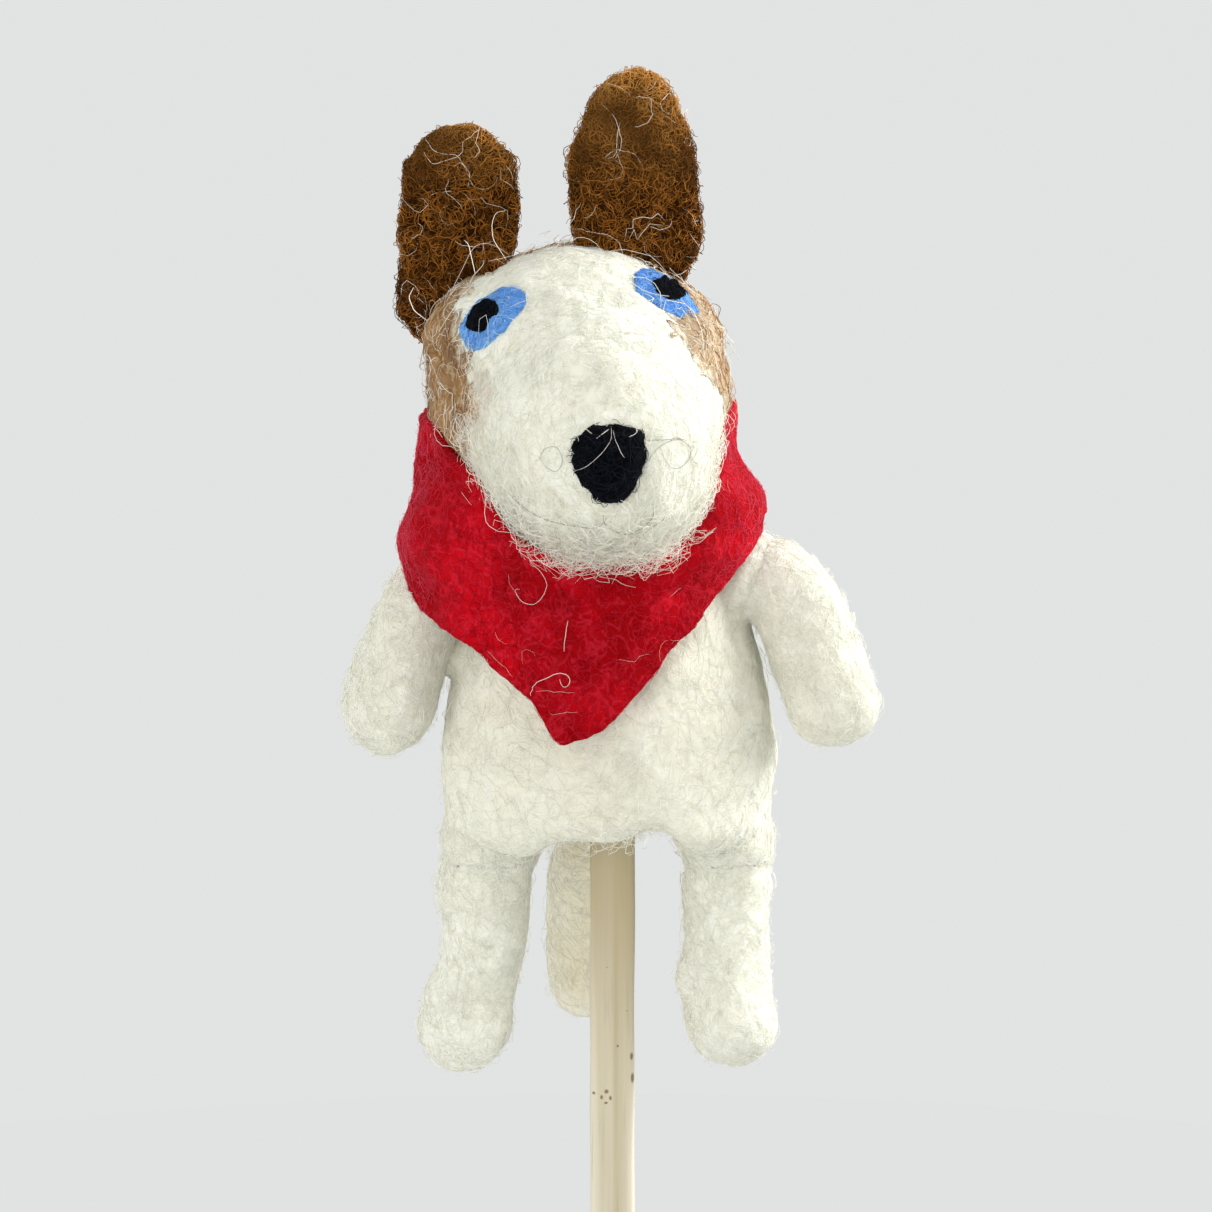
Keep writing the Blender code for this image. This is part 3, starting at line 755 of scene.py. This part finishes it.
def make_ear(side, brown, crease_at, tuck, seed):
    ear = felt_over("ear_%s_wool" % side, ["ear_" + side], EAR_BALLS[side], voxel=0.33, rounds=8)
    points, normal = coords(ear.data), normals(ear.data)
    low, high = box_mm("ear_" + side)
    push = crease(points, normal, crease_at)
    middle_x = (low[0] + high[0]) / 2
    points[:, 0] = middle_x + (points[:, 0] - middle_x) * 0.96
    hollow = np.exp(-((points[:, 0] - middle_x) / 3.4) ** 2) * smooth_step(-normal[:, 1] * 1.5)
    above = smooth_step((points[:, 2] - low[2] - 4) / 6)
    push -= 0.45 * hollow * above * smooth_step((high[2] - points[:, 2] - 7) / 4)
    points = points + normal * push[:, None]
    points[:, 0] += tuck * smooth_step((low[2] + 6.5 - points[:, 2]) / 4.5)
    set_coords(ear.data, points)
    roughen(ear, seed, 0.13, 0.05, 5.0)
    return dress(ear, "ear_" + side, "brown_wool", brown, "ear_" + side)


# ---- body

HIP_CUT = 154.4
HIP_TUCK = 0.9
HIP_BALLS = (((-12.0, -0.3, 156.2), 5.4), ((11.1, -0.3, 156.2), 5.3), ((-13.1, -0.7, 151.2), 5.0),
             ((11.6, -0.7, 151.2), 4.5), ((10.7, -1.3, 142.2), 4.3), ((-16.7, -1.5, 175.5), 2.3))


def parted(skin, name, keep):
    """A closed copy of part of a skin, with a sharp cut edge, so that no shading seam shows."""
    shape = bmesh.new()
    shape.from_mesh(skin.data)
    gone = [face for face in shape.faces if not keep(face.calc_center_median() / MM)]
    bmesh.ops.delete(shape, geom=gone, context="FACES")
    rim = [edge for edge in shape.edges if edge.is_boundary]
    for edge in rim:
        edge.smooth = False
    bmesh.ops.holes_fill(shape, edges=rim, sides=0)
    return from_bmesh(name, shape)


def make_body(material):
    """Torso and legs felted as one skin, then parted at the hips into the torso and each leg."""
    fillers = [(joint_mm(joint), radius) for joint, radius in SOCKETS]
    skin = felt_over("body_skin", ["torso", "leg_left", "leg_right"], fillers + list(HIP_BALLS),
                     rounds=22)
    points = coords(skin.data)
    x, z = points[:, 0], points[:, 2]
    rise = (1.9 + 1.1 * smooth_step((x + 1) / 5)) * np.exp(-((x + 0.3) / 7.4) ** 6)
    points[:, 2] += rise * smooth_step((164 - z) / 7) * (z > 150)
    set_coords(skin.data, points)
    roughen(skin, 20, 0.1, 0.02)
    torso = parted(skin, "torso_wool", lambda p: p.z > HIP_CUT)
    dress(torso, "torso", "white_wool", material, "torso")
    for side, way in (("left", 1), ("right", -1)):
        leg = parted(skin, "leg_%s_wool" % side,
                     lambda p: p.z < HIP_CUT + HIP_TUCK and p.x * way > 0)
        points = coords(leg.data)
        tuck = 0.15 * smooth_step((points[:, 2] - HIP_CUT) / HIP_TUCK)
        set_coords(leg.data, points - normals(leg.data) * tuck[:, None])
        dress(leg, "hip_" + side, "white_wool", material, "leg_" + side)
    felt = Felt(skin)
    bpy.data.objects.remove(skin)
    return felt


# ---- bandana

BAND_X = -3.5
BAND_BACK_FOOT = 190.6
CLOTH_THICKNESS = 1.1
FRONT_CUT = ((-1, 183.3), (-0.92, 180.8), (-0.76, 179.4), (-0.57, 177.4), (-0.42, 175.5),
             (-0.26, 173.3), (-0.18, 171.3), (-0.13, 169.7), (-0.09, 169.2), (0.06, 170),
             (0.16, 170.6), (0.34, 173.4), (0.52, 176.8), (0.75, 180.9), (0.91, 185),
             (0.97, 187.6), (1, 189.7))


def band_foot(turn):
    """Height of the bandana's lower edge: cut to a blunt tip in front, level behind."""
    across, heights = np.array(FRONT_CUT).T
    cut = np.interp(np.sin(np.radians(np.clip(turn, -90, 90))), across, heights)
    return cut + (BAND_BACK_FOOT - cut) * smooth_step((np.abs(turn) - 90) / 35)


def make_bandana(red):
    """A felt triangle wound round the neck, lapped behind, its point hanging in front."""
    columns, rows = 300, 46
    turn, down = np.meshgrid(np.linspace(-187, 187, columns), np.linspace(0, 1, rows))
    turn, down = turn.ravel(), down.ravel()
    top = 187.3 + 11.8 * smooth_step((np.abs(turn) - 14) / 62)
    top += 3.3 * np.exp(-((turn + 34) / 19) ** 2) + 1.2 * smooth_step((turn - 60) / 25)
    z = top + (band_foot(turn) - top) * down
    angle = np.radians(turn)
    wide = 15.0 + 2.4 * smooth_step((195.2 + 1.7 * np.sin(angle) - z) / 6)
    wide -= 1.7 * smooth_step((187 - z) / 6)
    front = 13.8 + 2.0 * np.clip(186 - z, 0, None) / 16.5 + 1.2 * smooth_step((z - 184) / 3.5)
    deep = np.where(np.cos(angle) > 0, front, 16.5 - 0.6 * smooth_step((195 - z) / 5))
    lap = 0.75 * smooth_step((np.abs(turn) - 150) / 25) * np.sign(turn)
    ripple = 0.25 * np.sin(angle * 5 + 0.8) * smooth_step((np.abs(turn) - 20) / 40) * down
    ripple += 0.25 * np.sin(z * 0.55 + angle * 3) * smooth_step((np.abs(turn) - 30) / 40)
    spread = 1 + (lap + ripple) / 16
    x = BAND_X + wide * np.sin(angle) * spread
    y = -deep * np.sign(np.cos(angle)) * np.abs(np.cos(angle)) ** 0.8 * spread
    points = np.stack([x, y, z], 1)
    points += 0.16 * lumps(points, 6.0, 71)[:, None] * unit(np.stack([x - BAND_X, y, 0 * z], 1))
    cloth = mesh_object("bandana_felt", points, grid_faces(rows, columns, False))
    corners = points.reshape(rows, columns, 3)
    down_point = np.linalg.norm(np.diff(corners, axis=0), axis=2).sum(0).max()
    down_point += np.ptp(corners[0, :, 2])
    area = Felt(cloth).area[-1]
    thick = cloth.modifiers.new("thickness", "SOLIDIFY")
    thick.thickness = CLOTH_THICKNESS * MM
    thick.offset = 0
    bake_modifiers(cloth)
    roughen(cloth, 72, 0.03, 0.03, 3.0)
    dress(cloth, "bandana", "red_wool", red, "bandana_band", "bandana_point")
    return cloth


# ---- fibre coats

def coat(name, body, paint, seed, radius, *layers):
    """One piece of many fibres. Each layer is (maker, felt, count, the maker's own settings)."""
    rng = np.random.default_rng(seed)
    strands = [maker(felt, rng, count, *settings) for maker, felt, count, *settings in layers]
    dress(tubes(name, strands, radius, seed + 1), body, *paint)


def drawn(felt, marks, around, lift, stops):
    """A strand through marks (right, up) from a place, laid on the felt from the front."""
    marks = np.array(marks, float)
    reach = np.concatenate([[0], np.cumsum(np.linalg.norm(np.diff(marks, axis=0), axis=1))])
    at = np.linspace(0, reach[-1], stops)
    line = np.stack([np.interp(at, reach, marks[:, k]) for k in range(2)], 1)
    for _ in range(3):
        line[1:-1] = (line[:-2] + 2 * line[1:-1] + line[2:]) / 4
    path, ups = [], []
    for x, z in line:
        origin = Vector((around[0] + x, -60, around[2] + z))
        hit, normal = felt.tree.ray_cast(origin, Vector((0, 1, 0)))[:2]
        if hit is None:
            path.append(np.array((origin[0], path[-1][1] if path else around[1], origin[2])))
            ups.append(np.array((0.0, -1.0, 0.0)))
            continue
        path.append(np.array(hit) + np.array(normal) * lift)
        ups.append(np.array(normal))
    return np.array(path)[None], np.array(ups)[None]


def hairs(name, body, paint, seed, radius, felt, lines, around, lift=0.12, stops=26):
    """One piece of single hairs, each drawn through its own marks."""
    strands = [drawn(felt, marks, around, lift, stops) for marks in lines]
    dress(tubes(name, strands, radius, seed), body, *paint)


DARK_HAIRS = (
    ((3.5, 0), (4, 1), (4.9, 1.8), (5.6, 2.1), (6.5, 2.2), (7.3, 1.7), (7.8, 0.8), (7.2, -0.4),
     (5.9, -0.8), (5.3, 0.1), (4.9, 1)),
    ((3.6, 2.2), (4.9, 2.2), (6.4, 2.2), (7.2, 1.9)),
    ((-6.2, 0.4), (-5.7, 1.5), (-4.6, 1.7), (-4.1, 0.9), (-4, 0.2), (-4.6, -0.8), (-5.6, -0.4),
     (-6.2, 0.5)),
    ((-10, -3.2), (-8, -4.6), (-6.3, -5.5), (-4.6, -5.9), (-1.8, -6.1), (-0.7, -6.1), (-0.1, -4.9)),
    ((-0.4, -4.7), (-0.4, -5.6), (0.1, -6), (1, -6.6), (2, -6.9), (3.4, -6.1), (4.3, -5),
     (4.1, -3.8)),
    ((2.1, -7.1), (3, -7.3), (3.7, -6.6), (5.2, -5.4)),
)
PALE_HAIRS = (
    ((0.3, 3.5), (0.5, 2.4), (-0.2, 1.8), (-1.4, 0.5), (-2.5, -0.3), (-3.2, -0.5)),
    ((0.5, 3.2), (0.7, 2.4), (1.1, 1.6), (1.5, 1)),
    ((-1, 2.6), (-0.5, 3), (0.1, 3.3)),
    ((2.6, 3.6), (2.7, 3), (2.3, 2.8), (1.9, 2.7)),
    ((-2.2, 3.1), (-1.9, 3.3), (-1.4, 3)),
)


EYE_HAIRS = (
    ((-3.1, -3.3), (-3.8, -0.8), (-3.4, 1.2), (-2.1, 3.7), (-1.3, 5.5), (-0.3, 6), (0.9, 5.6),
     (2.2, 4.7)),
    ((2.2, 4.7), (0.9, 6.7), (0.8, 8.2), (1.2, 9.3), (2.1, 9.4)),
    ((-0.8, 3.4), (-1.2, 5.2), (-1.4, 6.2), (-1.8, 6.6)),
    ((-5.4, -1.1), (-6.7, -0.1), (-7.2, 1.2), (-6.7, 2.1)),
)
EAR_RIGHT_HAIRS = (
    ((-2.9, -1), (-2, -2.3), (0, -2.4), (1.3, -4.3), (1, -5.5)),
    ((-3, -2.3), (-2.3, -3.6), (-1.4, -3.1), (0.4, -2.6), (0.9, -2), (0.4, -1.2), (1.2, -0.8),
     (2.2, -0.2)),
    ((-0.2, -3.6), (0.4, -3), (0.9, -3.9), (1.5, -5.6), (2.5, -6), (3.7, -5.4), (3.9, -4.6)),
)
BANDANA_HAIRS_AT = (-5.0, -15.0, 184.2)
BANDANA_HAIRS = (
    ((-3.2, 3.9), (-2.8, 2.8), (-1.7, 1.8), (-1.2, 0.5), (-1.7, -0.9), (-2.6, -1.7), (-3.8, -1.2),
     (-4.6, -0.2), (-4.3, 0.2), (-3.8, 0)),
    ((3, 2.5), (3.8, 1.4), (5.2, 1.1), (6.1, 0.4), (7.1, 0.1)),
    ((0.7, -3), (0.45, -4.5), (0.3, -5.9)),
    ((-2.9, -10.2), (-2.5, -9), (-1.5, -8.6), (-0.1, -7.9), (0.9, -8.2), (1.05, -9), (0.2, -9.5),
     (-0.1, -8.6)),
    ((-0.7, 1.4), (-0.1, 1.2), (0.3, 1.9), (1.6, 2.4)),
)
EAR_LEFT_HAIRS = (
    ((-3.3, -3), (-2.1, -4.5), (-1.3, -6.8), (-2.1, -8.3)),
    ((-3, -8.3), (-2.1, -7.3), (-0.1, -7.8), (0.4, -8.8)),
    ((-6, -15.3), (-4, -15.5), (-1.8, -16.3), (-1, -19)),
)


def head_coats(felts, white, pale, tan, black):
    head, patch, nose = felts["head"], felts["patch"], felts["nose"]
    skull, muzzle = head_balls()

    def face(p):
        return patch_depth(p) < 0.8

    def jaw(p):
        return (p[:, 2] < muzzle[2] - 5.2) & (p[:, 1] < -6)

    def cheek(p):
        return (np.abs(p[:, 0] - muzzle[0]) > 8) & (p[:, 2] < 199) & (p[:, 1] < -5) & face(p)

    def brow(p):
        return (p[:, 2] > skull[2] + 5) & (p[:, 1] > -16)

    def rim_of_patch(p):
        at_rim = np.abs(patch_depth(p) + 0.6) < 1.6
        return at_rim & (p[:, 0] < muzzle[0]) & (p[:, 2] < 206)

    def under_jaw(p):
        return (p[:, 2] < muzzle[2] - 7.5) & (p[:, 1] < -4)

    coat("head_fibres", "head", white, 101, 0.027, (lying, head, 4300, (2, 7), 0.5, 0.05, face))
    coat("head_loose_fibres", "head", white, 103, 0.030,
         (loose, head, 800, (1, 3.5), (0.15, 0.7), 0.7, 0.4, face),
         (loose, head, 1300, (2, 6), (0.3, 1.5), 0.9, 0.7, jaw),
         (loose, head, 600, (1.5, 5), (0.3, 1.3), 0.9, 0.6, cheek),
         (loose, head, 60, (4, 10), (0.6, 2.2), 0.35, 0.5, brow))
    coat("head_curls", "head", pale, 106, 0.024,
         (loose, head, 620, (2.5, 7), (0.8, 3), 1.3, 0.7, under_jaw),
         (loose, head, 420, (1.5, 5), (0.3, 1.2), 1.2, 0.7, rim_of_patch),
         (lying, head, 500, (1.5, 5), 1, 0.5, rim_of_patch))
    coat("patch_fibres", "head", tan, 105, 0.034,
         (lying, patch, 3200, (1.2, 4.5), 0.9, 0.25),
         (loose, patch, 600, (1, 4), (0.3, 1), 0.8))
    coat("patch_pale_fibres", "head", pale, 107, 0.032,
         (lying, patch, 1500, (1.5, 5), 0.8, 0.4),
         (loose, patch, 160, (2, 6), (0.4, 1.5)))
    nose_at = middle("nose")
    hairs("face_dark_hairs", "head", black, 109, 0.022, head, DARK_HAIRS, nose_at)
    hairs("nose_pale_hairs", "head", pale, 110, 0.034, nose, PALE_HAIRS, nose_at, 0.1, 14)
    hairs("eye_pale_hairs", "head", pale, 112, 0.040, head, EYE_HAIRS, middle("iris_right"), 0.5)
    for side, lines in (("left", EAR_LEFT_HAIRS), ("right", EAR_RIGHT_HAIRS)):
        low, high = box_mm("ear_" + side)
        top = np.array([(low[0] + high[0]) / 2, low[1], high[2]])
        hairs("ear_%s_pale_hairs" % side, "ear_" + side, pale, 114, 0.036, felts["ear_" + side],
              lines, top, 0.25)
    coat("nose_fibres", "head", black, 111, 0.03,
         (lying, nose, 500, (0.8, 2.6), 0.8, 0.1),
         (loose, nose, 260, (0.8, 2.2), (0.1, 0.5)))


def side_coats(number, side, felts, white, pale, brown, blue, black):
    """The coats that come in pairs: eye, ear, arm and leg."""
    eye = middle("pupil_" + side)
    way = 1 - 2 * number
    step = 4 * number

    def rim(p):
        return np.linalg.norm(p - eye, axis=1) > 2.7

    def leg(p):
        return (p[:, 0] * way > 5.5) & (p[:, 2] < 157.5)

    iris, pupil, ear = (felts[part + side] for part in ("iris_", "pupil_", "ear_"))
    coat("iris_%s_fibres" % side, "head", blue, 113 + step, 0.026,
         (lying, iris, 620, (0.8, 2.4), 0.9, 0.08),
         (loose, iris, 60, (0.6, 1.6), (0.1, 0.3), 0.7, 0.4, rim))
    coat("pupil_%s_fibres" % side, "head", black, 115 + step, 0.026,
         (lying, pupil, 150, (0.6, 2), 0.8, 0.1),
         (loose, pupil, 40, (0.6, 1.6), (0.1, 0.4)))
    coat("ear_%s_fibres" % side, "ear_" + side, brown, 131 + step, 0.042,
         (lying, ear, 3900, (0.8, 3), 1.7, 0.36),
         (loose, ear, 1100, (0.8, 2.6), (0.2, 0.8), 1.2))
    coat("ear_%s_pale_fibres" % side, "ear_" + side, pale, 133 + step, 0.026,
         (lying, ear, 40, (2, 6), 0.7, 0.4),
         (loose, ear, 16, (3, 7), (0.8, 2), 0.6))
    arm = felts["arm_" + side]
    for limb, body, felt, keep, seed in (("arm_", "arm_", arm, None, 151),
                                         ("leg_", "hip_", felts["torso"], leg, 153)):
        coat(limb + side + "_fibres", body + side, white, seed + step, 0.028,
             (lying, felt, 2600, (1.5, 6), 0.5, 0.06, keep),
             (loose, felt, 620, (1, 3.5), (0.15, 0.7), 0.7, 0.4, keep))


def make_fibres(felts, white, pale, brown, tan, blue, black, red):
    """The wool's loose fibres, piece by piece."""
    head_coats(felts, white, pale, tan, black)
    for number, side in enumerate(("left", "right")):
        side_coats(number, side, felts, white, pale, brown, blue, black)
    torso, tail, cloth = felts["torso"], felts["tail"], felts["bandana"]
    muzzle = head_balls()[1]

    def body(p):
        return (p[:, 2] > 154) & (np.hypot(p[:, 0], p[:, 1]) > 7.5)

    def hem(p):
        return (p[:, 2] < 160.5) & (p[:, 2] > 156) & (np.abs(p[:, 0]) < 4.5) & (p[:, 1] < -4)

    def near_chin(p):
        return (p[:, 1] < -8) & (np.abs(p[:, 0] - muzzle[0]) < 13)

    coat("torso_fibres", "torso", white, 171, 0.028,
         (lying, torso, 3600, (1.5, 7), 0.5, 0.07, body),
         (loose, torso, 700, (1, 4), (0.15, 0.8), 0.7, 0.4, body),
         (loose, torso, 90, (1.5, 4.5), (0.4, 1.8), 1.1, 0.5, hem))
    coat("tail_fibres", "tail", white, 173, 0.028,
         (lying, tail, 1400, (1.5, 6), 0.5, 0.07),
         (loose, tail, 320, (1, 3.5), (0.2, 0.9)))
    coat("bandana_fibres", "bandana", red, 181, 0.023, (lying, cloth, 5200, (0.8, 3.2), 1.3, 0.10))
    coat("bandana_curls", "bandana", red, 185, 0.020,
         (lying, cloth, 2600, (1.5, 4.5), 1, 0.16),
         (loose, cloth, 1500, (0.5, 1.9), (0.08, 0.42), 1.4))
    coat("bandana_pale_fibres", "bandana", pale, 183, 0.014,
         (lying, cloth, 26, (1.5, 4.5), 0.9, 0.3, near_chin),
         (loose, cloth, 12, (2, 5), (0.2, 0.8), 0.9, 0.4, near_chin))
    hairs("bandana_pale_hairs", "bandana", pale, 187, 0.034, cloth, BANDANA_HAIRS,
          BANDANA_HAIRS_AT, 0.3)


# ---- stick

def make_stick(material):
    """A split bamboo strip: a rounded rectangle with shallow ridges along the grain."""
    low, high = box_mm("stick")
    centre = (low + high) / 2
    half = (high - low) / 2
    around = 96
    angle = np.linspace(0, 2 * math.pi, around, endpoint=False)
    cos, sin = np.cos(angle), np.sin(angle)
    power = 6.0  # how square the section is
    reach = (np.abs(cos / half[0]) ** power + np.abs(sin / half[1]) ** power) ** (-1 / power)
    heights = np.concatenate([[0.0, 0.25], np.linspace(0.6, high[2] - 0.6, 150),
                              [high[2] - 0.25, high[2]]])
    shrink = np.ones(len(heights))
    shrink[[0, -1]], shrink[[1, -2]] = 0.9, 0.975
    rings = []
    for z, s in zip(heights, shrink):
        ring = np.stack([centre[0] + reach * cos, centre[1] + reach * sin, angle * 0 + z], 1)
        ridge = 0.022 * lumps(ring * np.array([1, 1, 0.02]), 0.8, 81)
        ridge = ridge + 0.03 * lumps(ring * np.array([1, 1, 0.15]), 3.0, 82) - 0.05
        away = unit(ring[:, :2] - centre[:2])
        ring[:, :2] = centre[:2] + (ring[:, :2] - centre[:2]) * s + away * ridge[:, None]
        rings.append(ring)
    rows = len(rings)
    points = np.concatenate(rings)
    bottom = np.arange(around)[::-1][None, :]
    top = (np.arange(around) + (rows - 1) * around)[None, :]
    stick = mesh_object("stick_bamboo", points, grid_faces(rows, around, True), bottom, top)
    return dress(stick, "stick", "bamboo", material, "stick")


# ---- scene

TAIL_SHIFT = 0.8
# Bodies dressed in one skin each, and the frame solid that each skin stands for.
BODY_PARTS = {"neck": "neck", "wad": "stick_wad", "arm_left": "arm_left", "arm_right": "arm_right",
              "tail": "tail"}
SOCKETS = (('arm_left_raise', 4.7), ('arm_right_raise', 4.7), ('leg_left_swing', 4.3),
           ('leg_right_swing', 4.3), ('tail_wag', 3.4))


def main():
    soft = dict(web=0.25, subsurface=0.5, depth=0.09)
    cream = wool("cream_wool", rgb(245, 243, 229), rgb(231, 229, 212), rgb(253, 252, 243),
                 rgb(240, 228, 206), 0.3, shadow_mottle=rgb(208, 204, 184), **soft)
    # Painted shade and light: torso and legs take a slightly darker copy of the cream as painted
    # shade, turning lighter towards the feet as painted light.
    body_cream_shade_and_light = wool("body_cream_wool", rgb(243, 241, 226), rgb(229, 227, 209),
                      rgb(252, 251, 241), rgb(240, 228, 206), 0.3, shadow_mottle=rgb(208, 204, 184),
                      tip=("Z", 160, 146, 0.55, rgb(251, 250, 239)), **soft)
    # Painted light: the tail takes a brighter copy of the cream, with more warm patches.
    brighter_tail_cream = wool("tail_cream_wool", rgb(250, 246, 228), rgb(240, 231, 204),
                    rgb(254, 251, 240), rgb(232, 214, 172), 0.6, shadow_mottle=rgb(228, 217, 190), **soft)
    # Painted light: the ears turn lighter and golden towards their tops, where light falls on them.
    brown = wool("brown_wool", rgb(54, 27, 7), rgb(26, 12, 3), rgb(128, 80, 32), web=0.5,
                 sheen=0.02, tip=("Z", 219, 232, 0.6, rgb(146, 94, 38)))
    tan = tan_wool()
    blue = wool("blue_wool", rgb(104, 164, 226), rgb(72, 122, 200), rgb(156, 204, 246), web=0.35,
                sheen=0.1)
    black = wool("black_wool", rgb(7, 9, 11), rgb(2, 3, 5), rgb(26, 30, 38), web=0.3, sheen=0.0)
    red = wool("red_felt", rgb(206, 8, 26), rgb(150, 2, 9), rgb(226, 50, 74), web=0.35, sheen=0.03)
    head = make_head(cream)
    felts = {"head": Felt(head)}
    felts["patch"] = Felt(make_patch(head, tan))
    for piece in make_face(felts["head"], blue, black):
        felts[piece.name.replace("_wool", "")] = Felt(piece)
    felts["ear_left"] = Felt(make_ear("left", brown, (2.6, -1.0, 224.6), -1.6, 61))
    felts["ear_right"] = Felt(make_ear("right", brown, (-15.0, -1.0, 221.6), 3.4, 64))
    felts["torso"] = make_body(body_cream_shade_and_light)
    for number, (body, node) in enumerate(BODY_PARTS.items()):
        piece = felt_over(body + "_wool", [node])
        if node == "tail":
            points = coords(piece.data)
            points[:, 0] -= TAIL_SHIFT
            set_coords(piece.data, points)
        roughen(piece, 23 + 3 * number, 0.1, 0.02)
        dress(piece, body, "white_wool", brighter_tail_cream if node == "tail" else cream, node)
        felts[body] = Felt(piece)
    felts["bandana"] = Felt(make_bandana(red))
    make_stick(bamboo())
    paints = (
        ("white_wool", fibre("white_fibres", rgb(240, 238, 222), rgb(253, 252, 243))),
        ("white_wool", fibre("pale_fibres", rgb(236, 224, 206), rgb(255, 250, 240))),
        # Painted light: the ear fibres turn lighter and golden towards the tops, where light falls
        # on them.
        ("brown_wool", fibre("brown_fibres", rgb(62, 30, 5), rgb(180, 116, 46), 0.02,
                             ("Z", 220, 232, 0.66, rgb(226, 164, 84)), 0.75)),
        ("tan_wool", fibre("tan_fibres", rgb(130, 88, 48), rgb(208, 170, 120), 0.1)),
        ("blue_wool", fibre("blue_fibres", rgb(78, 136, 212), rgb(162, 210, 248), 0.1)),
        ("black_wool", fibre("black_fibres", rgb(2, 3, 5), rgb(30, 34, 44), 0.0)),
        # Painted light: the red fibres turn pale pink away from the bandana's front, towards its
        # sides and back, as a lit rim.
        ("red_wool", fibre("red_fibres", rgb(156, 1, 10), rgb(216, 24, 44), 0.03,
                           ("Y", -13.0, -6.0, 0.6, rgb(246, 96, 122)))),
    )
    make_fibres(felts, *paints)
    stage_and_light()


# The floor curves up behind into a backdrop: how far out, and how high.
FLOOR_PROFILE = ((400, 0), (900, 0), (1300, 30), (1600, 190), (1800, 560), (1900, 1100),
                 (1900, 2200))
CAMERA_AIM = (-0.00065, 0.0, 0.180)
CAMERA_AWAY = 0.35
CAMERA_TILT = 10.0
LAMP_AIM = (0, 0, 0.185)


def stage_and_light():
    """A pale floor, soft lamps, and the camera, all in metres here except the floor."""
    around = 96
    turn = np.linspace(0, 2 * math.pi, around, endpoint=False)
    rings = [np.stack([r * np.cos(turn), r * np.sin(turn), np.full(around, z)], 1)
             for r, z in FLOOR_PROFILE]
    floor = mesh_object("floor", np.concatenate(rings), grid_faces(len(rings), around, True),
                        np.arange(around)[None, :])
    paint = Paint("pale_floor", 0.0, 0.0, 0.0)
    grain = paint.noise(40.0, 2.0)
    colour = paint.mix(grain, rgb(12, 12, 12), rgb(16, 16, 16))
    paint.finish(colour, paint.span(grain, 0.3, 0.7, 0.8, 0.9), grain, 0.01, 0.1)
    paint.feed(paint.shader.inputs["Emission Color"], rgb(225, 227, 226))
    paint.shader.inputs["Emission Strength"].default_value = 1.0
    floor.data.materials.append(paint.material)

    world = bpy.data.worlds.new("soft_world")
    world.use_nodes = True
    world.node_tree.nodes["Background"].inputs["Color"].default_value = rgb(240, 243, 246)
    world.node_tree.nodes["Background"].inputs["Strength"].default_value = 1.0
    bpy.context.scene.world = world

    def lamp(name, place, size, power):
        data = bpy.data.lights.new(name, "AREA")
        data.size = size
        data.energy = power
        obj = bpy.data.objects.new(name, data)
        obj.location = place
        aim = Vector(LAMP_AIM) - Vector(place)
        obj.rotation_euler = aim.to_track_quat("-Z", "Y").to_euler()
        obj.visible_camera = False
        bpy.context.scene.collection.objects.link(obj)

    lamp("key", (0.53, 0.11, 0.44), 0.35, 4.9)
    lamp("fill", (-0.34, -0.78, 0.26), 0.6, 2.15)
    lamp("low", (-0.42, -0.42, 0.06), 0.4, 0.55)

    camera_data = bpy.data.cameras.new("camera")
    camera_data.lens = 103.96
    camera_data.sensor_width = 36
    camera_data.clip_start = 0.01
    camera = bpy.data.objects.new("camera", camera_data)
    tilt = math.radians(CAMERA_TILT)
    camera.location = (CAMERA_AIM[0], -CAMERA_AWAY * math.cos(tilt),
                       CAMERA_AIM[2] + CAMERA_AWAY * math.sin(tilt))
    camera.rotation_euler = (math.radians(90.0 - CAMERA_TILT), 0, 0)
    bpy.context.scene.collection.objects.link(camera)
    bpy.context.scene.camera = camera
    bpy.context.scene.view_settings.view_transform = "Standard"


main()
